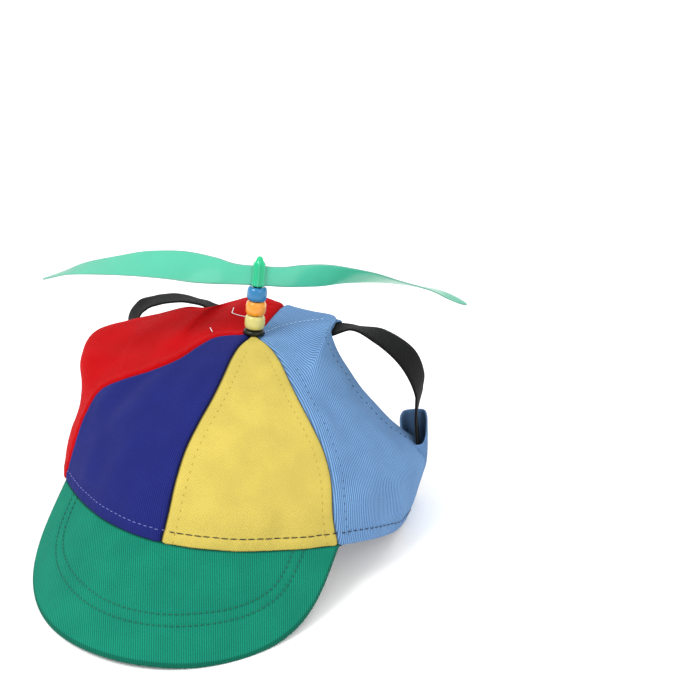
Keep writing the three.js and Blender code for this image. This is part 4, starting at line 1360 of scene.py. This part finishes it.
class CAP_OT_brim(bpy.types.Operator):
    """Makes the boarded brim"""

    bl_idname = "cap.brim"
    bl_label = "Brim"

    def execute(self, context):
        s = sizes()
        wide, tall = BRIM_GRID
        x, reach = brim_edge(np.linspace(0, 1, wide)[None, :])
        run = -s.brim_tuck + (reach + s.brim_tuck) * edge_steps(tall, False, True)[:, None]
        x = np.broadcast_to(x, run.shape)
        uv = brim_flat(x, run)
        edge = flat_distance(uv, brim_outline()) / MM
        height = slack(uv, SLACK_SEEDS["brim"]) * BRIM_SLACK * smooth_step(edge, 0, BRIM_CALM)
        for inset in BRIM_ROWS:
            aside = flat_distance(uv, brim_row(inset * MM)) / MM
            height = height + (ridge(aside, ROW_SWELL) + ridge(aside, ROW_GROOVE)) * MM
        outer = brim_point(x, run) + brim_normal(x) * height[..., None]
        under = np.array([0, -math.sin(s.brim_slope), math.cos(s.brim_slope)])
        normals = turn_to_row(np.broadcast_to(under, outer.shape))
        # Painted shade on the brim: darkest where it meets the crown, fading within about a millimetre and a
        # half, for the shadow under the crown's hem; half dark along the brim's outer edge, fading within a
        # millimetre, for the shade on its rolled edge.
        dark = np.minimum(run / MM * 0.7, 0.6 + edge * 0.6)
        mesher = Mesher()
        add_cloth(mesher, Panel(to_row(outer, BRIM_GIVE * MM), normals, uv, dark, ("top",)), s.brim_thickness)
        piece = mesher.object("brim_cloth", twill_material("green"))
        finish_piece(piece, CAP, "twill_green", "brim")
        return {"FINISHED"}


class CAP_OT_strap(bpy.types.Operator):
    """Weaves the elastic strap, one loop through casing and sleeves"""

    bl_idname = "cap.strap"
    bl_label = "Strap"

    def execute(self, context):
        s = sizes()
        sky, red = strap_half(SIDES["sky"]), strap_half(SIDES["red"])
        mirror = [(centre * (-1, 1, 1), width * (-1, 1, 1)) for centre, width in red.run[:0:-1]]
        run = sky.run + mirror
        steps = len(run) * STRAP_STEPS
        t = np.arange(steps) / steps
        centre, across, face = band_frames(run, t, closed=True)
        wide, deep = section_ring(s.strap_width / 2, s.strap_thickness / 2, STRAP_SQUARENESS, STRAP_SIDES)
        rings = centre[:, None] + across[:, None] * wide[None, :, None] + face[:, None] * deep[None, :, None]
        rings = to_row(rings, STRAP_GIVE * MM)
        steps_length = np.linalg.norm(np.diff(centre, axis=0, append=centre[:1]), axis=-1)
        travel = np.cumsum(steps_length) - steps_length
        uv = np.stack(np.broadcast_arrays(travel[:, None], wide[None, :]), -1)
        mesher = Mesher()
        numbers = mesher.add(rings, uv)
        mesher.quads(np.concatenate([numbers, numbers[:1]]), wrap=True)
        piece = mesher.object("strap_webbing", elastic_material())
        finish_piece(piece, CAP, "elastic_black", "strap")
        return {"FINISHED"}


# Pieces on the spindle

def stack_to_row(points):
    """Points about the spindle, with its foot at the apex, moved to where the cap rests."""
    s = sizes()
    return to_row(points + np.array([0, s.apex_back, s.apex_height]))


def add_turned(mesher, profile, foot, count=TURNED_SIDES, closed=True, ribs=None):
    """Adds a turned shape on the spindle; a closed profile makes a ring, an open one is the ribbed hub, which
    starts and ends on the axis."""
    profile = np.asarray(profile, float)
    turn = np.linspace(0, 2 * math.pi, count, endpoint=False)
    raised = np.zeros((len(profile), count)) if ribs is None else ribs(turn[None, :], profile[:, [1]])
    radius = profile[:, [0]] + raised * RIB_HEIGHT * MM
    x, y = radius * np.cos(turn), radius * np.sin(turn)
    grid = np.stack(np.broadcast_arrays(x, y, profile[:, [1]] + foot), -1)
    if closed:
        numbers = mesher.add(stack_to_row(grid), (0, 0))
        mesher.quads(np.concatenate([numbers, numbers[:1]]), wrap=True)
        return
    numbers = mesher.add(stack_to_row(grid[1:-1]), (0, 0), raised[1:-1] + HUB_VALLEY)
    mesher.quads(numbers, wrap=True)
    for end, ring, flip in ((0, numbers[0], False), (-1, numbers[-1], True)):
        tip = mesher.add(stack_to_row(grid[end, :1]), (0, 0), HUB_VALLEY)[0]
        for k in range(count):
            mesher.fan([tip, ring[(k + 1) % count], ring[k]], flip)


def hub_ribs(turn, z):
    """Height of the hub's ribs, from 0 to 1."""
    rib = np.clip(np.cos(RIBS * turn + RIB_PHASE), 0, 1) ** RIB_SHARPNESS
    up = z / MM
    return rib * smooth_step(up, *RIB_FOOT) * (1 - smooth_step(up, *RIB_TOP))


def bead_profile():
    """A pony bead's section: a barrel with a bored middle."""
    s = sizes()
    half, r, bore = s.bead_height / 2, s.bead_radius, s.bore_radius
    turn = np.linspace(-math.pi / 2, math.pi / 2, 21)
    belly = 1.35 * MM
    bulge = r - belly + belly * np.cos(turn) ** 0.75
    rise = half + half * np.sign(np.sin(turn)) * np.abs(np.sin(turn)) ** 0.8
    outside = np.stack([bulge, rise], -1)
    lip = 0.5 * MM
    inside = [(bore + lip, 2 * half), (bore, 2 * half - lip), (bore, lip), (bore + lip, 0)]
    return np.concatenate([outside, inside])


def stack_feet():
    """Heights of the feet of washer, three beads and propeller over the apex."""
    s = sizes()
    washer = s.washer_seat
    first = washer + s.washer_height + s.stack_gap
    step = s.bead_height + s.stack_gap
    return washer, [first, first + step, first + 2 * step], first + 3 * step


class CAP_OT_spindle_stack(bpy.types.Operator):
    """Threads the washer and the beads on the spindle"""

    bl_idname = "cap.spindle_stack"
    bl_label = "Washer and beads"

    def execute(self, context):
        s = sizes()
        washer_foot, bead_feet, _ = stack_feet()
        turn = np.linspace(0, math.pi, 13)
        middle = (s.bore_radius + s.washer_radius) / 2
        half = (s.washer_radius - s.bore_radius) / 2
        crown = s.washer_height * (0.35 + 0.65 * np.sin(turn) ** 0.8)
        top = np.stack([middle + half * np.cos(turn), crown], -1)
        foot = [(s.bore_radius, 0), (s.washer_radius, 0)]
        mesher = Mesher()
        add_turned(mesher, np.concatenate([top, foot]), washer_foot)
        finish_piece(mesher.object("washer_eyelet", metal_material()), CAP, "gunmetal", "washer")
        for name, foot_height in zip(("yellow", "orange", "blue"), bead_feet):
            mesher = Mesher()
            add_turned(mesher, bead_profile(), foot_height)
            piece = mesher.object(f"bead_{name}_moulding", bead_material(name))
            finish_piece(piece, CAP, "bead_" + name, "bead_" + name)
        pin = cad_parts["spindle"]
        pin.data.materials.clear()
        pin.data.materials.append(metal_material())
        return {"FINISHED"}


class CAP_OT_propeller(bpy.types.Operator):
    """Moulds the propeller with its ribbed hub"""

    bl_idname = "cap.propeller"
    bl_label = "Propeller"

    def execute(self, context):
        s = sizes()
        _, _, foot = stack_feet()
        stations = spline(columns(BLADE_SECTIONS, Blade._fields), np.linspace(0, 1, BLADE_STEPS))
        root = BLADE_SECTIONS[0].chord / 2 + BLADE_LIFT
        rings, uv, seam = [], [], []
        spun = math.cos(s.propeller_turn), math.sin(s.propeller_turn)
        for hand, rows in ((-1, stations[:0:-1]), (1, stations)):
            for share, chord, pitch, drop in rows:
                pitch = math.radians(pitch)
                chordwise = np.array([0, -hand * math.cos(pitch), math.sin(pitch)])
                through = np.array([0, math.sin(pitch), hand * math.cos(pitch)])
                centre = np.array([hand * share * s.propeller_radius, 0, (root - drop) * MM])
                half = chord * MM / 2
                wide, deep = section_ring(half, s.blade_thickness / 2, BLADE_SQUARENESS, BLADE_SIDES)
                rings.append(centre + chordwise * wide[:, None] + through * deep[:, None])
                uv.append(np.stack(np.broadcast_arrays(share * s.propeller_radius, wide), -1))
                seam.append(chord / 2 - np.abs(wide) / MM)
        rings = np.array(rings)
        x, y, z = np.moveaxis(rings, -1, 0)
        rings = np.stack([x * spun[0] - y * spun[1], x * spun[1] + y * spun[0], z + foot], -1)
        blades = Mesher()
        numbers = blades.add(stack_to_row(rings), np.array(uv), np.array(seam))
        blades.quads(numbers, wrap=True)
        blades.fan(numbers[0], flip=True)
        blades.fan(numbers[-1])
        hub = columns(HUB_PROFILE, Turned._fields, MM)
        fine = spline(np.column_stack([hub, 0 * hub[:, 0]]), np.linspace(0, 1, HUB_STEPS))[:, :2]
        fine[:, 0] = np.maximum(fine[:, 0], 0)
        moulded = Mesher()
        add_turned(moulded, fine, foot, HUB_SIDES, closed=False, ribs=hub_ribs)
        piece = join_meshers(blades, moulded).object("propeller_moulding", blade_material())
        finish_piece(piece, ROTOR, "propeller_green", "propeller")
        return {"FINISHED"}


# Stitches

def edge_line(panel, edge, inset, start, end):
    """Points and normals of a line on a panel at an inset from an edge, from start to end along it."""
    points, normals = panel.points, panel.normals
    if edge in ("left", "right"):
        points, normals = points.swapaxes(0, 1), normals.swapaxes(0, 1)
    if edge in ("right", "bottom"):
        points, normals = points[::-1], normals[::-1]
    reach = run_lengths(points, 0)
    count = points.shape[1]
    where, lie = [], []
    for j in range(int(start * (count - 1)), int(end * (count - 1)) + 1):
        if reach[-1, j] < inset:
            continue
        where.append([np.interp(inset, reach[:, j], points[:, j, k]) for k in range(3)])
        lie.append([np.interp(inset, reach[:, j], normals[:, j, k]) for k in range(3)])
    return np.array(where), unit(np.array(lie))


def stitch_group():
    """A row of stitches along a line: one thread loop at each step, lying along the line."""
    found = bpy.data.node_groups.get("stitch_row")
    if found:
        return found
    tree = bpy.data.node_groups.new("stitch_row", "GeometryNodeTree")
    face = tree.interface
    face.new_socket("Geometry", in_out="INPUT", socket_type="NodeSocketGeometry")
    for name in ("Pitch", "Length", "Thread"):
        face.new_socket(name, in_out="INPUT", socket_type="NodeSocketFloat")
    face.new_socket("Material", in_out="INPUT", socket_type="NodeSocketMaterial")
    face.new_socket("Geometry", in_out="OUTPUT", socket_type="NodeSocketGeometry")
    into = tree.nodes.new("NodeGroupInput").outputs
    out = tree.nodes.new("NodeGroupOutput").inputs
    line = node(tree, "GeometryNodeMeshToCurve", inputs={"Mesh": into["Geometry"]}).outputs["Curve"]
    step = {"Curve": line, "Length": into["Pitch"]}
    spaced = node(tree, "GeometryNodeResampleCurve", mode="LENGTH", inputs=step)
    tangent = node(tree, "GeometryNodeInputTangent").outputs["Tangent"]
    lie = node(tree, "GeometryNodeInputNamedAttribute", data_type="FLOAT_VECTOR", inputs={"Name": "lie"})
    turn = node(
        tree,
        "FunctionNodeAxesToRotation",
        primary_axis="X",
        secondary_axis="Z",
        inputs={"Primary Axis": tangent, "Secondary Axis": lie.outputs["Attribute"]},
    ).outputs["Rotation"]
    ball = {"Segments": 8, "Rings": 5, "Radius": 0.5}
    loop = node(tree, "GeometryNodeMeshUVSphere", inputs=ball).outputs["Mesh"]
    tall = math_node(tree, "MULTIPLY", into["Thread"], 0.8)
    spread = {"X": into["Length"], "Y": into["Thread"], "Z": tall}
    scale = node(tree, "ShaderNodeCombineXYZ", inputs=spread).outputs["Vector"]
    placed = node(
        tree,
        "GeometryNodeInstanceOnPoints",
        inputs={"Points": spaced.outputs["Curve"], "Instance": loop, "Rotation": turn, "Scale": scale},
    ).outputs["Instances"]
    whole = node(tree, "GeometryNodeRealizeInstances", inputs={"Geometry": placed}).outputs["Geometry"]
    sewn = node(tree, "GeometryNodeSetMaterial", inputs={"Geometry": whole, "Material": into["Material"]})
    tree.links.new(sewn.outputs["Geometry"], out["Geometry"])
    return tree


def sew(name, lines, thread, slot, pitch, stitch, width):
    """Sews rows of stitches along lines of points and normals, as one piece; sizes in millimetres, the width
    as a share of the thread."""
    material = thread_material(thread)
    wide = sizes().thread * width
    points, lies, edges = [], [], []
    for where, lie in lines:
        first = len(points)
        points.extend((where + lie * wide * 0.15).tolist())
        lies.extend(lie.tolist())
        edges.extend((first + k, first + k + 1) for k in range(len(where) - 1))
    guide = bpy.data.meshes.new(name + "_line")
    guide.from_pydata(points, edges, [])
    guide.attributes.new("lie", "FLOAT_VECTOR", "POINT").data.foreach_set("vector", np.ravel(lies))
    holder = place(name + "_line", guide, material)
    rows = holder.modifiers.new("stitch_row", "NODES")
    tree = stitch_group()
    rows.node_group = tree
    values = {"Pitch": pitch * MM, "Length": stitch * MM, "Thread": wide, "Material": material}
    for item in tree.interface.items_tree:
        if item.in_out == "INPUT" and item.name in values:
            rows[item.identifier] = values[item.name]
    graph = bpy.context.evaluated_depsgraph_get()
    graph.update()
    mesh = bpy.data.meshes.new_from_object(holder.evaluated_get(graph))
    bpy.data.objects.remove(holder)
    if not mesh.polygons:
        raise RuntimeError(name + " has no stitches")
    mesh.shade_smooth()
    return finish_piece(place(name, mesh, material), CAP, slot)


# Rows of stitches: the panel, its edge, the inset in millimetres, the stretch of the edge as shares, the
# thread, the pitch and stitch length in millimetres, and the width as a share of the thread.
Row = namedtuple("Row", "name panel edge inset start end thread pitch stitch width")
STITCH_ROWS = [
    Row("hem", "blue", "bottom", 4.6, 0.03, 0.98, "pale", 2.7, 1.9, 0.6),
    Row("hem", "yellow", "bottom", 4.8, 0.02, 0.98, "dark", 3.6, 3.45, 1.05),
    Row("hem", "sky", "bottom", 4.8, 0.02, 0.96, "denim", 3.2, 2.4, 1.15),
    Row("hem", "red", "bottom", 4.8, 0.02, 0.96, "maroon", 3.2, 2.3, 0.9),
    Row("seam_right", "yellow", "left", 5.5, 0.15, 0.96, "straw", 3.3, 1.2, 0.65),
    Row("seam_left", "yellow", "right", 5.5, 0.15, 0.96, "straw", 2.9, 1.2, 0.65),
    Row("seam", "sky", "left", 6.0, 0.30, 0.95, "denim", 3.2, 0.9, 0.6),
    Row("ear", "sky", "right", 6.5, 0.30, 0.80, "denim", 3.1, 1.0, 1.0),
    Row("ear", "red", "right", 6.5, 0.28, 0.80, "maroon", 3.1, 1.2, 0.8),
    Row("casing", "red", "right", 15.0, 0.04, 0.24, "maroon", 1.9, 1.3, 0.7),
]

# Threads by the spindle, as points where the cap rests: the casing's stitches on the sky blue panel, and two
# loose tacks. Then the pitch, stitch length and width of these rows and of the brim's.
CASING_LINE = [(4.0, 52.7, 77.4), (9.5, 62.2, 77.6), (16.5, 68.4, 78.1), (23.2, 71.8, 78.9)]
TACKS = [
    [(-17.0, 65.6, 79.0), (-15.7, 61.1, 78.9), (-12.5, 60.5, 78.8), (-9.6, 60.5, 78.7)],
    [(-19.0, 45.4, 77.9), (-17.2, 43.1, 77.9)],
]
CASING_STITCH = (1.9, 1.5, 0.7)
TACK_STITCH = (1.0, 1.5, 0.9)
BRIM_STITCH = (2.4, 1.8, 0.8)


class CAP_OT_stitches(bpy.types.Operator):
    """Sews the hems, the seams' top stitches, the casing, the brim's rows and the loose tacks"""

    bl_idname = "cap.stitches"
    bl_label = "Stitches"

    def execute(self, context):
        panels = {name: front_panel(name) for name in FRONT_SEAMS}
        panels.update({name: side_panel(name) for name in SIDES})
        for row in STITCH_ROWS:
            line = edge_line(panels[row.panel], row.edge, row.inset * MM, row.start, row.end)
            name = f"stitches_{row.panel}_{row.name}"
            sew(name, [line], row.thread, "twill_" + row.panel, row.pitch, row.stitch, row.width)
        rows = [brim_row_line(inset * MM) for inset in BRIM_ROWS]
        sew("stitches_brim", rows, "green", "twill_green", *BRIM_STITCH)
        casing = spline(np.array(CASING_LINE) * MM, np.linspace(0, 1, 24))
        sew("stitches_sky_casing", [(casing, UP + 0 * casing)], "ice", "twill_sky", *CASING_STITCH)
        tacks = [np.array(tack) * MM for tack in TACKS]
        sew("thread_tacks", [(tack, UP + 0 * tack) for tack in tacks], "white", "twill_red", *TACK_STITCH)
        return {"FINISHED"}


# Stage: sizes in metres, light in watts, and the camera about the point that it looks at

Lamp = namedtuple("Lamp", "name place size power")
LAMPS = [
    Lamp("key", (-0.55, -0.65, 1.05), 0.7, 11.0),
    Lamp("fill", (0.9, -0.5, 0.7), 0.9, 2.5),
    Lamp("back", (0.1, 0.9, 0.9), 0.8, 3.0),
]
LAMP_AIM = (0, 0.02, 0.05)
FLOOR_HALF = 6.0
CAMERA_AIM = (0.0182, 0.0094, 0.0418)
CAMERA_DISTANCE = 0.7
CAMERA_AZIMUTH = math.radians(23.7)
CAMERA_ELEVATION = math.radians(31.1)
CAMERA_SENSOR, CAMERA_LENS = 36.0, 84.56
CAMERA_SHIFT = (0.1357, 0.15)


class CAP_OT_stage(bpy.types.Operator):
    """Sets the pale floor, the soft studio light and the camera"""

    bl_idname = "cap.stage"
    bl_label = "Stage"

    def execute(self, context):
        scene = context.scene
        material, tree, shader = new_material("studio_floor")
        grain = noise(tree, object_place(tree), 3.0)
        tone = mix_colour(tree, grain, linear(colours().floor, 0.995), linear(colours().floor, 1.005))
        tree.links.new(tone, shader.inputs["Base Color"])
        set_values(shader, Roughness=0.9, Specular_IOR_Level=0.1)
        corners = [(x * FLOOR_HALF, y * FLOOR_HALF, 0) for x, y in ((-1, -1), (1, -1), (1, 1), (-1, 1))]
        mesh = bpy.data.meshes.new("floor")
        mesh.from_pydata(corners, [], [(0, 1, 2, 3)])
        place("floor", mesh, material)
        world = bpy.data.worlds.new("studio")
        world.use_nodes = True
        sky = world.node_tree.nodes["Background"]
        sky.inputs["Color"].default_value = (1, 1, 1, 1)
        sky.inputs["Strength"].default_value = 1.0
        scene.world = world
        for row in LAMPS:
            light = bpy.data.lights.new(row.name, "AREA")
            light.shape = "DISK"
            light.size = row.size
            light.energy = row.power
            lamp = bpy.data.objects.new(row.name, light)
            lamp.location = row.place
            aim = Vector(LAMP_AIM) - Vector(row.place)
            lamp.rotation_euler = aim.to_track_quat("-Z", "Y").to_euler()
            scene.collection.objects.link(lamp)
        data = bpy.data.cameras.new("camera")
        data.sensor_width = CAMERA_SENSOR
        data.lens = CAMERA_LENS
        data.shift_x, data.shift_y = CAMERA_SHIFT
        camera = bpy.data.objects.new("camera", data)
        level = math.cos(CAMERA_ELEVATION)
        ahead = math.sin(CAMERA_AZIMUTH) * level, -math.cos(CAMERA_AZIMUTH) * level
        back = Vector((*ahead, math.sin(CAMERA_ELEVATION)))
        camera.location = Vector(CAMERA_AIM) + back * CAMERA_DISTANCE
        camera.rotation_euler = back.to_track_quat("Z", "Y").to_euler()
        scene.collection.objects.link(camera)
        scene.camera = camera
        scene.view_settings.view_transform = "Standard"
        return {"FINISHED"}


class CAP_PT_panel(bpy.types.Panel):
    """Lists the cap's pieces and sizes"""

    bl_idname = "CAP_PT_panel"
    bl_label = "Propeller cap"
    bl_space_type = "VIEW_3D"
    bl_region_type = "UI"
    bl_category = "Cap"

    def draw(self, context):
        for operator in OPERATORS:
            self.layout.operator(operator.bl_idname)
        for group in (context.scene.cap_sizes, context.scene.cap_colours):
            for name in group.__annotations__:
                self.layout.prop(group, name)


OPERATORS = (
    CAP_OT_stage,
    CAP_OT_front_panels,
    CAP_OT_side_panels,
    CAP_OT_brim,
    CAP_OT_strap,
    CAP_OT_spindle_stack,
    CAP_OT_propeller,
    CAP_OT_stitches,
)
CLASSES = (CapSizes, CapColours, *OPERATORS, CAP_PT_panel)


def register():
    """Registers the add-on's classes and its settings."""
    for cls in CLASSES:
        bpy.utils.register_class(cls)
    bpy.types.Scene.cap_sizes = PointerProperty(type=CapSizes)
    bpy.types.Scene.cap_colours = PointerProperty(type=CapColours)


def unregister():
    """Takes the add-on's classes and settings away."""
    del bpy.types.Scene.cap_sizes
    del bpy.types.Scene.cap_colours
    for cls in reversed(CLASSES):
        bpy.utils.unregister_class(cls)


def main():
    """Makes every piece in order."""
    register()
    bpy.ops.cap.stage()
    bpy.ops.cap.front_panels()
    bpy.ops.cap.side_panels()
    bpy.ops.cap.brim()
    bpy.ops.cap.strap()
    bpy.ops.cap.spindle_stack()
    bpy.ops.cap.propeller()
    bpy.ops.cap.stitches()


if __name__ == "__main__":
    main()
